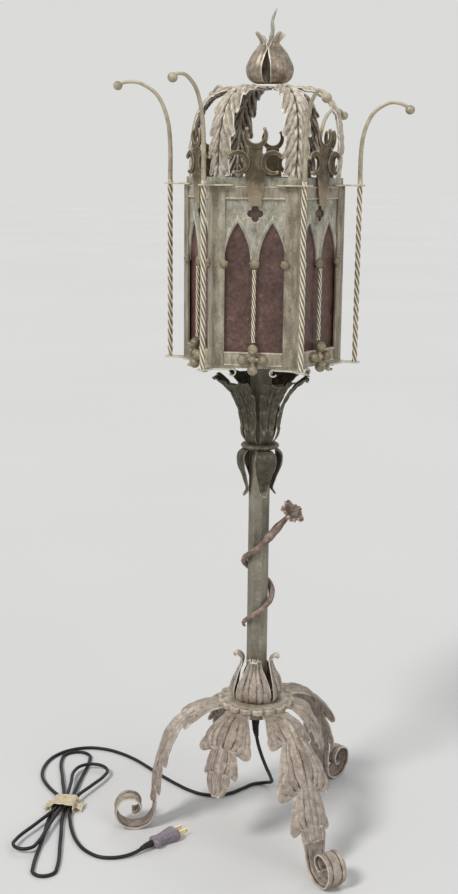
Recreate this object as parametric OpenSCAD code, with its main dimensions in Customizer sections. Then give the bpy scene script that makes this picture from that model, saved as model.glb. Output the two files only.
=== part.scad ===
// Wrought-iron floor lamp: a six-sided lantern on an octagonal stem with three scrolled leaf feet.
// The origin is on the floor, on the stem's axis. +Z is up and -Y is the front.

/* [Lantern] */
// Distance from the axis to a corner of the lantern
lantern_r = 103.5; // [95:0.5:115]
// Height of the lantern's floor plate above the ground
floor_z = 665; // [600:1:720]
// Height of the lantern's body, from its floor plate to the top of its corner posts
body_h = 223; // [200:1:240]
// Thickness of the floor plate
floor_t = 2.5; // [1.5:0.5:4]
// Thickness of the sheet iron of the posts and the tracery
sheet_t = 2.5; // [1.5:0.5:3]
// Width of each of a corner post's two flanges
flange_w = 15; // [10:0.5:18]
// Height of the bottom rail
bottom_rail_h = 17.5; // [12:0.5:24]
// Height of the top rail
top_rail_h = 16; // [12:0.5:22]
// Height of the upright strip above the top rail
rim_h = 10; // [6:0.5:16]
// Height of the tracery plate, from the foot of its arches to the top rail
tracery_h = 80; // [76:1:95]
// Width of each pointed arch
arch_w = 30; // [24:0.5:31]
// Height of each pointed arch above its springing
arch_h = 50; // [40:1:56]
// Thickness of a mica pane
pane_t = 1.2; // [0.8:0.1:2]
// Radius of the studs where the arches spring
stud_r = 6.5; // [4:0.5:8]
// Radius of the balls of the cross on the bottom rail
cross_ball_r = 7.3; // [5:0.1:8]
// Width across the corners of a twisted mullion
mullion_d = 4.3; // [3:0.1:6]

/* [Rods] */
// Distance from the axis to a twisted rod
rod_ring_r = 122; // [115:0.5:135]
// Width across the corners of a twisted rod
rod_d = 6.2; // [5:0.1:8]
// Full turns in a twisted rod
rod_turns = 5; // [3:1:6]
// Radius of the ball on a rod's tip
rod_ball_r = 6; // [4:0.5:8]
// Thickness of the rod brackets
bracket_t = 2; // [1.5:0.5:3]

/* [Crown] */
// Height of the crown plate above the top of the posts
crown_h = 120; // [100:1:140]
// Distance from the axis to a crown strap's foot
crown_foot_r = 92; // [80:0.5:93]
// Width across the corners of the crown plate
crown_plate_w = 54; // [46:1:66]
// Thickness of the crown plate
crown_plate_t = 3; // [2:0.5:5]
// How far the hand-bent crown leans to the right at its plate
crown_shift = 5; // [0:0.5:8]
// Widest radius of the bud on the crown
bud_r = 29; // [24:0.5:34]
// Height of the bud
bud_h = 62; // [52:1:74]
// Height of the spike above the bud's middle
spike_h = 62; // [40:1:80]

/* [Cresting] */
// Width of a cresting plate across its side arms
cresting_w = 65; // [60:1:70]
// Height of a cresting plate
cresting_h = 93; // [88:1:100]
// Thickness of a cresting plate
cresting_t = 2.5; // [1.5:0.5:4]

/* [Stem] */
// Width of the stem pipe across its flats
stem_w = 27; // [24:0.5:30]
// Bore of the stem pipe
stem_bore = 21; // [14:0.5:21.5]
// Diameter of the neck collar
collar_d = 51; // [42:1:60]
// Height of the neck collar above the ground
collar_z = 545; // [500:1:580]
// Thickness of the neck collar
collar_t = 7; // [5:0.5:10]
// Thickness of the leaves, the buds and the calyxes
leaf_t = 1.6; // [1.2:0.1:2.4]
// Thickness of the vine that winds round the stem
vine_d = 9; // [6:0.5:11]
// Outer diameter of the threaded tube in the stem
tube_d = 10; // [9.5:0.1:11]
// Bore of the threaded tube
tube_bore = 6.6; // [6:0.1:7.5]

/* [Base] */
// Diameter of the scalloped ring over its lobes
ring_d = 107; // [96:1:120]
// Thickness of the scalloped ring
ring_t = 6; // [4:0.5:10]
// Height of the scalloped ring's underside
ring_z = 184; // [176:1:196]
// Thickness of the leg straps
leg_t = 4; // [3:0.5:5]
// Distance from the axis to where a foot touches the ground
foot_r = 186; // [170:1:190]
// Radius of the scroll on each foot
scroll_r = 24; // [20:0.5:28]
// Diameter of the hub disc under the legs
hub_d = 84; // [70:1:96]
// Thickness of the hub disc
hub_t = 7; // [4:0.5:10]

/* [Lamp holder] */
// Outer diameter of the lamp holder's shell
socket_d = 34; // [33:0.5:40]
// Height of the lamp holder's shell
socket_h = 46; // [40:1:56]
// Diameter of the bulb's screw base
screw_d = 26; // [25:0.5:26.5]
// Diameter of the bulb's glass
bulb_d = 60; // [45:1:66]

/* [Cord and plug] */
// Diameter of the cord
cord_d = 5; // [4:0.5:6]
// Length of the plug's body
plug_l = 42; // [34:1:48]
// Width of the plug's body at its front
plug_w = 25; // [22:0.5:28]
// Height of the plug's body
plug_h = 16; // [14:0.5:20]

/* [Hidden] */

play = 0.2;          // clearance between pieces that are set against each other
iron = "#5b5f55";
leaf_iron = "#8a857c";
tan_iron = "#8a7a58";
brass = "#b08d4a";

// Lantern
sides = 6;
turn = 360 / sides;
face_r = lantern_r * cos(turn / 2);              // axis to the outer face of a flange
plate_r = face_r - sheet_t;                      // axis to the outer face of the tracery
pane_r = plate_r - sheet_t - play;               // axis to the outer face of a mica pane
face_w = 2 * face_r * tan(turn / 2);
between_w = face_w - 2 * flange_w;               // clear width between a face's two flanges
post_z = floor_z + floor_t;
top_z = floor_z + body_h;                        // top of the posts, where the upper brackets lie
rail_z = top_z - top_rail_h;
spring_z = rail_z - tracery_h + 2;
cross_z = post_z + bottom_rail_h / 2;
cross_reach = cross_ball_r * 1.9;
stud_h = stud_r * 0.8;
mullion_z = cross_z + cross_reach + cross_ball_r;
crown_z = top_z + crown_h;                       // underside of the crown plate
face_turns = [for (i = [0:sides - 1]) (i + 0.5) * turn];
corner_turns = [for (i = [0:sides - 1]) i * turn];

// Each rod's tip: how far it bends out, and its height above the upper brackets
rod_tips = [[59, 97], [58, 100], [62, 129], [68, 125], [57, 126], [54, 102]];

// Stem
stem_r = stem_w / 2 / cos(22.5);                 // axis to the pipe's edges
stem_z = ring_z + ring_t;
tube_low = 163;
tube_high = post_z + 22;
fit = 0.1;                                       // running clearance on the threaded tube

// Base
seat_z = ring_z - play / 2 - leg_t / 2;          // middle of the leg straps where they are clamped
hub_z = ring_z - play - leg_t - hub_t;
flat_step = 20;                                  // turn between a scroll's rings, and angle of its flat
heel_r = 28;                                     // radius of the bend from the leg into its scroll
heel_steps = 4;
// The short leaves between them: direction, reach, drop
short_leaves = [[248, 106, 98], [4, 92, 66], [128, 96, 80]];
toe_steps = 20;                                  // rings in a scroll past its flat

// Cord route, from the bushing down to the ground and over it to the hank
run_route = [
    [0, 0, 156], [0, 0, 142], [2, 5, 122], [6, 20, 94], [11, 44, 62], [15, 72, 32], [13, 96, 12],
    [2, 108, 4], [-14, 104, 2.5], [-28, 88, 2.5], [-44, 70, 2.5], [-64, 60, 2.5], [-86, 60, 2.5],
    [-108, 70, 2.5], [-130, 86, 2.5], [-154, 106, 2.5], [-180, 130, 2.5], [-206, 153, 2.5],
    [-232, 170, 2.5], [-260, 181, 2.5], [-288, 182, 2.5], [-314, 170, 2.5], [-334, 144, 2.5],
    [-340, 110, 2.5], [-334, 76, 2.5], [-318, 48, 3], [-303, 30, 3], [-293, 18, 4]];
lead_route = [
    [-261, -36, 4], [-257, -48, 3], [-248, -72, 2.5], [-235, -98, 2.5], [-216, -122, 2.5],
    [-190, -136, 2.5], [-164, -132, 3], [-145, -119, 5], [-135, -108, 8], [-128, -99, 8]];
hank_at = [-280, -10];
hank_lift = 1.5;                                 // room for the tie under the cord
lane = cord_d + 1;                               // pitch of the strands side by side in the tie
// Each loop of the hank: direction, reach, end radius, sense, layer, lane in, lane out
loops = [
    [-82, 186, 16, 1, 0, -1.5, 1.5],
    [97, 176, 22, 1, 0, 1.5, -0.5],
    [-99, 134, 16, 1, 1, -0.5, 0.5],
    [80, 128, 25, -1, 1, 0.5, 3]];
loop_points = 8;
tie_l = 30;
tie_t = 1;
plug_turn = 52;
plug_at = [lead_route[len(lead_route) - 1][0], lead_route[len(lead_route) - 1][1], plug_h / 2];
blade_l = 17;
blade_w = 6.3;
blade_t = 1.5;
blade_pitch = 12.7;

// ---- Helpers ----

function unit(v) = v / norm(v);
function at(a, i) = a[max(0, min(len(a) - 1, i))];
function tangent(p, i) = unit(at(p, i + 1) - at(p, i - 1));
function along(p, i, s) =
    let (a = at(p, i - 1), b = p[i], c = at(p, i + 1), d = at(p, i + 2))
    0.5 * (2 * b + (c - a) * s + (2 * a - 5 * b + 4 * c - d) * s * s
        + (3 * b - a - 3 * c + d) * s * s * s);
// A smooth curve through points, with the given steps between neighbours
function smooth(p, steps) =
    concat([for (i = [0:len(p) - 2], s = [0:steps - 1]) along(p, i, s / steps)], [p[len(p) - 1]]);
function route_length(p, i = 0) = i >= len(p) - 1 ? 0 : norm(p[i + 1] - p[i]) + route_length(p, i + 1);
function carry(n, t) = unit(n - (n * t) * t);
function normals(p, first) = [for (
    i = 0, n = carry(first, tangent(p, 0));
    i < len(p);
    i = i + 1, n = carry(n, tangent(p, min(i, len(p) - 1)))) n];
// A value read off a list of [position, value] pairs
function read(table, u) = lookup(u, table);
function wave(u, n) = u * n - floor(u * n);

// A tube through points: radii holds its size ring by ring, spin is its twist in degrees
module tube(p, radii, count, first = [0, 0, 1], spin = 0) {
    n = normals(p, first);
    last = len(p) - 1;
    points = [for (i = [0:last]) let (t = tangent(p, i), m = cross(t, n[i]), r = at(radii, i))
        for (k = [0:count - 1]) let (a = 360 * k / count + spin * i / last)
            p[i] + r * (cos(a) * n[i] + sin(a) * m)];
    sides = [for (i = [0:last - 1], k = [0:count - 1]) let (l = (k + 1) % count)
        each [[i * count + k, (i + 1) * count + k, (i + 1) * count + l],
              [i * count + k, (i + 1) * count + l, i * count + l]]];
    polyhedron(points, concat(sides, [
        [for (k = [0:count - 1]) k],
        [for (k = [count - 1:-1:0]) last * count + k]]), convexity = 6);
}

// A sheet of even thickness over a grid of points
function grid_normal(g, i, j) =
    unit(cross(at(g, i + 1)[j] - at(g, i - 1)[j], at(g[i], j + 1) - at(g[i], j - 1)));
module sheet(g, t) {
    rows = len(g);
    cols = len(g[0]);
    half = rows * cols;
    function id(i, j, s) = s * half + i * cols + j;
    points = [for (s = [-1, 1], i = [0:rows - 1], j = [0:cols - 1])
        g[i][j] + s * t / 2 * grid_normal(g, i, j)];
    skins = [for (i = [0:rows - 2], j = [0:cols - 2]) each [
        [id(i, j, 0), id(i + 1, j, 0), id(i + 1, j + 1, 0)],
        [id(i, j, 0), id(i + 1, j + 1, 0), id(i, j + 1, 0)],
        [id(i, j, 1), id(i + 1, j + 1, 1), id(i + 1, j, 1)],
        [id(i, j, 1), id(i, j + 1, 1), id(i + 1, j + 1, 1)]]];
    ends = [for (j = [0:cols - 2]) each [
        [id(0, j, 0), id(0, j + 1, 0), id(0, j + 1, 1)],
        [id(0, j, 0), id(0, j + 1, 1), id(0, j, 1)],
        [id(rows - 1, j, 0), id(rows - 1, j + 1, 1), id(rows - 1, j + 1, 0)],
        [id(rows - 1, j, 0), id(rows - 1, j, 1), id(rows - 1, j + 1, 1)]]];
    edges = [for (i = [0:rows - 2]) each [
        [id(i, 0, 0), id(i, 0, 1), id(i + 1, 0, 1)],
        [id(i, 0, 0), id(i + 1, 0, 1), id(i + 1, 0, 0)],
        [id(i, cols - 1, 0), id(i + 1, cols - 1, 1), id(i, cols - 1, 1)],
        [id(i, cols - 1, 0), id(i + 1, cols - 1, 0), id(i + 1, cols - 1, 1)]]];
    polyhedron(points, concat(skins, ends, edges), convexity = 8);
}

// A strap's grid. path holds [r, z] points, half the half-widths, relief the depth of its flutes
function strap(path, half, relief, cols) = [for (i = [0:len(path) - 1])
    let (d = unit(at(path, i + 1) - at(path, i - 1)), n = [-d[1], d[0]])
    [for (j = [0:cols - 1]) let (v = 2 * j / (cols - 1) - 1, o = relief[i] * (sin(180 * abs(v)) - abs(v)))
        [path[i][0] + n[0] * o, v * half[i], path[i][1] + n[1] * o]]];
// A petal's grid: part of a turned shape, half spread degrees wide to either side
function petal(path, spread, cols) = [for (i = [0:len(path) - 1])
    [for (j = [0:cols - 1]) let (v = 2 * j / (cols - 1) - 1, a = v * spread[i])
        [path[i][0] * cos(a), path[i][0] * sin(a), path[i][1]]]];
module ring_of(turns) {
    for (a = turns) rotate([0, 0, a]) children();
}
module hexagon(r, h) {
    linear_extrude(h) polygon([for (a = corner_turns) r * [cos(a), sin(a)]]);
}

// ---- Base ----

bend_r = 54;                                     // from here outward the straps are free of the ring
// The hand-bent straps' middle lines, out from the hub and down to the heel
side_top = [[24, 0], [40, 0], [53, 0], [58, -0.6], [72, -4], [86, -10], [100, -18], [113, -31], [124, -48],
    [131, -67], [137, -88], [141, -112], [143, -134]];
front_top = [[24, 0], [40, 0], [53, 0], [60, -0.6], [76, -3], [91, -9], [107, -24], [122, -42], [134, -67],
    [142, -88], [149, -108], [155, -126], [159, -137]];
heel_gap = 30;                                   // from the strap's lower end out to the foot's contact
// The legs: direction, distance from the axis to the foot's contact, and middle line
legs = [[194, foot_r - 16, side_top], [307, foot_r + 2, front_top], [58, foot_r, side_top]];
// Bends of one step each: the heel, the flat on the ground, and the scroll that tightens after it
function turn_r(i) = i < 2 ? heel_r : scroll_r * (1.16 - 0.048 * i);
function chord(i) =
    2 * turn_r(i) * sin(flat_step / 2) * [cos(flat_step * i), sin(flat_step * i)];
function walk(q, i, n) = n == 0 ? [q] : concat([q], walk(q + chord(i), i + 1, n - 1));
function leg_path(reach, top) =
    let (last = top[len(top) - 1][0],
        flat = [reach - chord(0)[0] / 2, leg_t / 2 * cos(flat_step / 2)],
        heel = flat - [for (i = [-heel_steps:-1]) 1] * [for (i = [-heel_steps:-1]) chord(i)])
    concat(
        smooth([for (p = top) [p[0] < bend_r ? p[0]
            : bend_r + (p[0] - bend_r) * (reach - heel_gap - bend_r) / (last - bend_r), seat_z + p[1]]], 2),
        walk(heel, -heel_steps, heel_steps + toe_steps));
function leg_half(i, n) = let (u = i / n)
    read([[0, 12], [0.1, 12], [0.18, 20], [0.26, 27], [0.38, 26], [0.47, 21], [0.52, 18], [0.6, 14],
        [1, 13]], u)
    * (u > 0.13 && u < 0.47 ? 0.62 + 0.65 * wave((u - 0.13) / 0.34, 3) : 1);
module leg(reach, top) {
    path = leg_path(reach, top);
    n = len(path) - 1;
    half = [for (i = [0:n]) leg_half(i, n)];
    relief = [for (i = [0:n]) read([[0, 0], [0.14, 0], [0.24, 5], [0.42, 4], [0.52, 0], [1, 0]], i / n)];
    color(leaf_iron) sheet(strap(path, half, relief, 5), leg_t);
}
module short_leaf(reach, drop) {
    path = smooth([[24, seat_z], [42, seat_z], [46, seat_z - 0.3], [bend_r, seat_z - 2],
        [bend_r + (reach - bend_r) * 0.45, seat_z - drop * 0.22],
        [bend_r + (reach - bend_r) * 0.78, seat_z - drop * 0.56], [reach, seat_z - drop]], 3);
    n = len(path) - 1;
    half = [for (i = [0:n]) let (u = i / n)
        read([[0, 11], [0.22, 12], [0.45, 26], [0.8, 26], [1, 7]], u)
        * (u > 0.25 && u < 0.97 ? 0.6 + 0.7 * wave((u - 0.25) / 0.72, 3) : 1)];
    relief = [for (i = [0:n]) read([[0, 0], [bend_r, 0], [bend_r + 12, 5], [reach, 3]], path[i][0])];
    color(leaf_iron) sheet(strap(path, half, relief, 5), leg_t);
}
module set_leg(l) { rotate([0, 0, l[0]]) leg(l[1], l[2]); }
module set_leaf(l) { rotate([0, 0, l[0]]) short_leaf(l[1], l[2]); }
module leg_left() { set_leg(legs[0]); }
module leg_front() { set_leg(legs[1]); }
module leg_rear() { set_leg(legs[2]); }
module short_leaf_front() { set_leaf(short_leaves[0]); }
module short_leaf_right() { set_leaf(short_leaves[1]); }
module short_leaf_rear() { set_leaf(short_leaves[2]); }

ring_lobes = 18;
lobe_r = PI * ring_d / ring_lobes / 2 * 0.95;
module base_ring() {
    color(leaf_iron) difference() {
        linear_extrude(ring_t) union() {
            circle(r = ring_d / 2 - lobe_r, $fn = 96);
            for (i = [0:ring_lobes - 1]) rotate(i * 360 / ring_lobes)
                translate([ring_d / 2 - lobe_r, 0]) circle(r = lobe_r, $fn = 32);
        }
        translate([0, 0, -1]) cylinder(r = tube_d / 2 + fit, h = ring_t + 2, $fn = 48);
    }
}
module hub_disc() {
    color(iron) difference() {
        translate([0, 0, hub_z]) cylinder(r = hub_d / 2, h = hub_t, $fn = 96);
        translate([0, 0, hub_z - 1]) cylinder(r = tube_d / 2 + fit, h = hub_t + 2, $fn = 48);
    }
}
nut_w = 19;
nut_t = 5;
module tube_nut(z) {
    color(brass) translate([0, 0, z]) difference() {
        cylinder(r = nut_w / 2 / cos(30), h = nut_t, $fn = 6);
        translate([0, 0, -1]) cylinder(r = tube_d / 2 + fit, h = nut_t + 2, $fn = 48);
    }
}
module hub_nut() { tube_nut(hub_z - nut_t); }
bushing_h = tube_low - run_route[0][2];
module cord_bushing() {
    color("#1b1b1b") translate([0, 0, tube_low - bushing_h]) difference() {
        cylinder(r = tube_d / 2 + 1.5, h = bushing_h, $fn = 48);
        translate([0, 0, -1]) cylinder(r = cord_d / 2 + play, h = bushing_h + 2, $fn = 48);
    }
}
base_calyx_path = [[16.5, 1], [28, 2], [33.5, 8], [34, 17], [29, 31], [22, 44], [19, 54], [21, 60], [28, 64],
    [32, 60]];
module base_calyx() {
    path = smooth([for (p = base_calyx_path) [p[0], stem_z + p[1]]], 2);
    n = len(path) - 1;
    spread = [for (i = [0:n]) read([[0, 40], [0.3, 42], [0.5, 38], [0.75, 22], [1, 8]], i / n)];
    color(leaf_iron) ring_of([for (i = [0:3]) 270 + i * 90]) sheet(petal(path, spread, 5), leaf_t);
}

// ---- Stem ----

module threaded_tube() {
    color(brass) translate([0, 0, tube_low]) difference() {
        cylinder(r = tube_d / 2, h = tube_high - tube_low, $fn = 48);
        translate([0, 0, -1]) cylinder(r = tube_bore / 2, h = tube_high - tube_low + 2, $fn = 48);
    }
}
module stem_pipe() {
    color(iron) translate([0, 0, stem_z]) difference() {
        rotate([0, 0, 22.5]) cylinder(r = stem_r, h = floor_z - stem_z, $fn = 8);
        translate([0, 0, -1]) cylinder(r = stem_bore / 2, h = floor_z - stem_z + 2, $fn = 64);
    }
}
vine_pitch = 91;
vine_r = stem_r + vine_d / 2 + play;
vine_z = 290;
vine_end = [42, -22, 458];                       // middle of the blossom
blossom_tilt = [25, 38];
blossom_dir = [sin(blossom_tilt[1]) * cos(blossom_tilt[0]), -sin(blossom_tilt[0]),
    cos(blossom_tilt[1]) * cos(blossom_tilt[0])];
blossom_low = 3;                                 // from the blossom's middle down to its base
function vine_point(a) = [vine_r * cos(a), vine_r * sin(a), vine_z + (a - 160) / 360 * vine_pitch];
module stem_vine() {
    wound = [for (a = [160:18:646]) vine_point(a)];
    last = wound[len(wound) - 1];
    path = concat(wound, [last + [7, -4, 9], last + [15, -2, 19],
        for (back = [blossom_low + 6, blossom_low + play]) vine_end - back * blossom_dir]);
    n = len(path) - 1;
    radii = [for (i = [0:n])
        vine_d / 2 * read([[0, 0.35], [0.12, 0.8], [0.4, 1], [0.8, 0.9], [1, 0.5]], i / n)];
    color(iron) tube(path, radii, 8);
}
module vine_blossom() {
    petals = 5;
    rim_r = 17;
    color(iron) translate(vine_end) rotate([blossom_tilt[0], blossom_tilt[1], 0]) difference() {
        rotate_extrude($fn = 60) polygon([[0, -blossom_low], [3, -blossom_low], [6, 1], [9, 7], [13, 10.6],
            [rim_r, 11], [rim_r, 12.6], [12.5, 12.4], [7.6, 8.6], [4.6, 3.4], [2, 1.5], [0, 1.5]]);
        for (i = [0:petals - 1]) rotate([0, 0, (i + 0.5) * 360 / petals])
            translate([rim_r + 0.5, 0, 4]) cylinder(r = 4.6, h = 12, $fn = 32);
    }
}
module neck_collar() {
    color(iron) translate([0, 0, collar_z]) rotate_extrude($fn = 96) difference() {
        union() {
            translate([stem_r + play, 0]) square([collar_d / 2 - collar_t / 2 - stem_r - play, collar_t]);
            translate([collar_d / 2 - collar_t / 2, collar_t / 2]) circle(r = collar_t / 2, $fn = 32);
        }
        translate([0, -1]) square([stem_r + play, collar_t + 2]);
    }
}
upper_calyx_path = [[16.5, -1], [23, -2], [28, -8], [29, -16], [26.5, -27], [21, -40], [17.2, -51], [17, -58],
    [22, -65]];
module upper_calyx() {
    path = smooth([for (p = upper_calyx_path) [p[0], collar_z + p[1]]], 2);
    n = len(path) - 1;
    spread = [for (i = [0:n]) read([[0, 26], [0.3, 29], [0.5, 27], [0.8, 18], [1, 8]], i / n)];
    color(iron) ring_of([for (i = [0:3]) 294 + i * 90]) sheet(petal(path, spread, 5), leaf_t);
}
capital_path = [[17, 1], [22, 10], [24, 27], [27, 45], [34, 62], [44, 76], [54, 85], [60, 88], [63, 84]];
module capital_leaves() {
    path = smooth([for (p = capital_path) [p[0], collar_z + collar_t + p[1]]], 2);
    n = len(path) - 1;
    half = [for (i = [0:n]) let (u = i / n)
        read([[0, 7], [0.15, 10], [0.4, 12], [0.7, 19], [0.9, 19], [1, 8]], u)
        * (u > 0.2 && u < 0.95 ? 0.8 + 0.3 * wave((u - 0.2) / 0.75, 3) : 1)];
    relief = [for (i = [0:n]) read([[0, 0.5], [0.3, 2], [1, 3]], i / n)];
    color(leaf_iron) ring_of(corner_turns) sheet(strap(path, half, relief, 5), leaf_t);
}

// ---- Lantern ----

module lantern_floor() {
    color(iron) translate([0, 0, floor_z]) difference() {
        hexagon(lantern_r, floor_t);
        translate([0, 0, -1]) cylinder(r = tube_d / 2 + fit, h = floor_t + 2, $fn = 48);
    }
}
module floor_nut() { tube_nut(post_z); }
// A straight bar across one face, its outer side at out_r
module face_bar(out_r, thick, width, z, h) {
    translate([out_r - thick, -width / 2, z]) cube([thick, width, h]);
}
module bottom_rail() {
    color(iron) ring_of(face_turns)
        face_bar(face_r, 2 * sheet_t, between_w - play, post_z, bottom_rail_h);
}
module top_rail() {
    color(iron) ring_of(face_turns)
        face_bar(face_r, 2 * sheet_t, between_w - play, rail_z, top_rail_h);
}
module top_rim() {
    color(iron) translate([0, 0, top_z]) difference() {
        hexagon(plate_r / cos(turn / 2), rim_h);
        translate([0, 0, -1]) hexagon((plate_r - sheet_t) / cos(turn / 2), rim_h + 2);
    }
}
module corner_posts() {
    out = [for (s = [-1, 1]) [lantern_r - flange_w / 2, s * flange_w * cos(30)]];
    back = [for (s = [-1, 1]) [-sheet_t * cos(30), -s * sheet_t / 2]];
    color(iron) ring_of(corner_turns) translate([0, 0, post_z]) linear_extrude(top_z - post_z)
        polygon([[lantern_r, 0], out[1], out[1] + back[1], [lantern_r - sheet_t / cos(30), 0],
            out[0] + back[0], out[0]]);
}
module mica_panes() {
    width = 2 * (pane_r - pane_t) * tan(turn / 2) - 1;
    color("#5a3526") ring_of(face_turns) face_bar(pane_r, pane_t, width, post_z, rail_z - post_z + 8);
}
arch_r = (arch_w * arch_w / 4 + arch_h * arch_h) / arch_w;
module pointed_arch() {
    intersection() {
        translate([arch_r - arch_w / 2, 0]) circle(r = arch_r, $fn = 180);
        translate([arch_w / 2 - arch_r, 0]) circle(r = arch_r, $fn = 180);
    }
}
foil_r = 5.4;
foil_z = rail_z - 17;
module tracery(i) {
    width = 2 * (plate_r - sheet_t) * tan(turn / 2) - play;
    color(iron) rotate([0, 0, face_turns[i]]) translate([plate_r - sheet_t, 0, 0]) rotate([90, 0, 90])
        linear_extrude(sheet_t) difference() {
            translate([-width / 2, rail_z - tracery_h]) square([width, tracery_h]);
            for (s = [-1, 1]) translate([s * (arch_w / 2 + 1.8), spring_z]) pointed_arch();
            translate([0, foil_z]) for (a = [0, 90, 180, 270]) rotate(a)
                translate([foil_r * 0.95, 0]) circle(r = foil_r, $fn = 32);
        }
}
module dome(r, h) {
    rotate([0, 90, 0]) rotate_extrude($fn = 32) intersection() {
        translate([0, h - r]) circle(r = r, $fn = 32);
        square([r, h]);
    }
}
module arch_studs() {
    color(tan_iron) ring_of(face_turns) translate([0, 0, spring_z]) {
        translate([plate_r + play / 2, 0, 0]) dome(stud_r, stud_h);
        for (s = [-1, 1]) translate([face_r + play / 2, s * (between_w / 2 + 1), 0]) dome(stud_r, stud_h);
    }
}
module mullions() {
    low = mullion_z + play;
    high = spring_z - stud_r - play;
    steps = 16;
    path = [for (i = [0:steps]) [plate_r + mullion_d / 2, 0, low + (high - low) * i / steps]];
    color(tan_iron) ring_of(face_turns) tube(path, [mullion_d / 2], 4, [1, 0, 0], -720);
}
module ball_crosses() {
    color(tan_iron) ring_of(face_turns) translate([face_r + play / 2, 0, cross_z]) union() {
        for (a = [0:90:270]) rotate([a, 0, 0]) {
            translate([0, 0, cross_reach]) dome(cross_ball_r, cross_ball_r * 1.7);
            translate([0, -2.5, 0]) cube([4, 5, cross_reach]);
        }
        dome(5, 5);
    }
}
arm_l = 26;
// The flat outline of a bracket: a tongue out to the rod and an arm along either face
module bracket_outline() {
    translate([face_r + 2, -5]) square([rod_ring_r - face_r + 4, 10]);
    translate([rod_ring_r + 1, 0]) circle(r = 6, $fn = 32);
    for (s = [-1, 1]) translate([lantern_r, 0]) rotate(s * 120)
        translate([-5, s > 0 ? -7 : 0.1 - sheet_t]) square([arm_l + 5, 7 - 0.1 + sheet_t]);
}
module bottom_brackets() {
    color(iron) ring_of(corner_turns) translate([0, 0, floor_z - bracket_t]) linear_extrude(bracket_t)
        bracket_outline();
}
module top_brackets() {
    color(iron) ring_of(corner_turns) translate([0, 0, top_z]) linear_extrude(bracket_t) difference() {
        bracket_outline();
        translate([rod_ring_r, 0]) circle(r = rod_d / 2 + play, $fn = 32);
        circle(r = plate_r / cos(30) + play, $fn = 180);
    }
}
// A rod: square and twisted up to the upper bracket, then round, bending out to a ball
module rod(i) {
    tip = rod_tips[i];
    steps = rod_turns * 8;
    low = floor_z;
    twisted = [for (k = [0:steps]) [rod_ring_r, 0, low + (top_z + 6 - low) * k / steps]];
    h = tip[1];
    out = tip[0];
    bend = smooth([for (p = [[0, 0.02], [0, 0.4], [0.06, 0.66], [0.24, 0.88], [0.56, 1], [0.84, 0.99],
        [1, 0.93]])
        [rod_ring_r + out * p[0], 0, top_z + h * p[1]]], 2);
    n = len(bend) - 1;
    color(tan_iron) rotate([0, 0, corner_turns[i]]) union() {
        tube(twisted, [rod_d / 2], 4, [1, 0, 0], -360 * rod_turns);
        tube(bend, [for (k = [0:n]) rod_d / 2 * (0.98 - 0.3 * k / n)], 6, [1, 0, 0]);
        translate([rod_ring_r + out, 0, top_z + h * 0.93 - 1]) sphere(r = rod_ball_r, $fn = 24);
    }
}

// ---- Cresting and crown ----

eye_r = 10.5;
eye_rim = 3.5;
cresting_z = rail_z - 7;
module cresting_outline() {
    side = cresting_w / 2 - eye_r - eye_rim + 2.5;
    mid = cresting_h * 0.56;
    top = cresting_h - 11;
    difference() {
        union() {
            translate([-8, 0]) square([16, mid]);
            translate([0, mid - 2]) circle(r = 15, $fn = 48);
            translate([-6, mid]) square([12, top - mid - eye_r - 2]);
            for (s = [-1, 1]) translate([s * side, mid]) circle(r = eye_r + eye_rim, $fn = 48);
            translate([0, top]) circle(r = eye_r + eye_rim + 1.5, $fn = 48);
        }
        for (s = [-1, 1]) {
            translate([s * side, mid]) circle(r = eye_r, $fn = 48);
            translate([s * (cresting_w / 2 + 20), mid]) square([40, 16], center = true);
            translate([s * (side + 10), mid]) square([22, 15], center = true);
            translate([s * (side + eye_r), top - 12]) circle(r = 9, $fn = 32);
        }
        translate([0, top + 1]) circle(r = eye_r + 1, $fn = 48);
        translate([-30, cresting_h]) square([60, 20]);
        translate([-9, top + 3]) square([18, 20]);
    }
}
module cresting() {
    color(iron) ring_of(face_turns) translate([face_r + play / 2, 0, cresting_z]) rotate([90, 0, 90])
        linear_extrude(cresting_t) cresting_outline();
}
// The crown leans to the right as it rises
function lean(p) = p + [crown_shift * max(0, p[2] - top_z) / crown_h, 0, 0];
crown_foot_half = ((plate_r - sheet_t) / cos(turn / 2) - crown_foot_r - leaf_t / 2 - play) / tan(turn / 2);
crown_path = [[0, 2], [0, 20], [1.5, 44], [-1, 68], [-6, 88], [-18, 105], [-36, 115], [-54, 118.3],
    [-71, 118.9]];
module crown_straps() {
    path = smooth([for (p = crown_path) [crown_foot_r + p[0], top_z + p[1] * crown_h / 120]], 2);
    n = len(path) - 1;
    half = [for (i = [0:n]) let (u = i / n)
        read([[0, crown_foot_half], [0.07, crown_foot_half], [0.14, 10], [0.25, 13], [0.6, 15],
            [0.8, 13], [1, 10]], u)
        * (u > 0.12 && u < 0.9 ? 0.86 + 0.24 * wave((u - 0.12) / 0.78, 4) : 1)];
    relief = [for (i = [0:n]) read([[0, 0], [0.13, 0], [0.2, 2.5], [0.75, 3], [0.9, 0], [1, 0]], i / n)];
    color(leaf_iron) for (a = corner_turns) {
        grid = strap(path, half, relief, 5);
        sheet([for (row = grid) [for (p = row)
            lean([p[0] * cos(a) - p[1] * sin(a), p[0] * sin(a) + p[1] * cos(a), p[2]])]], leaf_t);
    }
}
plate_z = crown_z;
screw_r = 3;
module on_crown() {
    translate([crown_shift, 0, plate_z]) children();
}
module crown_plate() {
    color(iron) on_crown() difference() {
        hexagon(crown_plate_w / 2, crown_plate_t);
        translate([0, 0, -1]) cylinder(r = screw_r + fit, h = crown_plate_t + 2, $fn = 32);
    }
}
bud_path = [[5, 0.02], [18, 0.03], [26, 0.12], [29, 0.24], [28, 0.37], [22, 0.56], [14.5, 0.72], [12, 0.8],
    [16, 0.92], [21, 1]];
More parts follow.
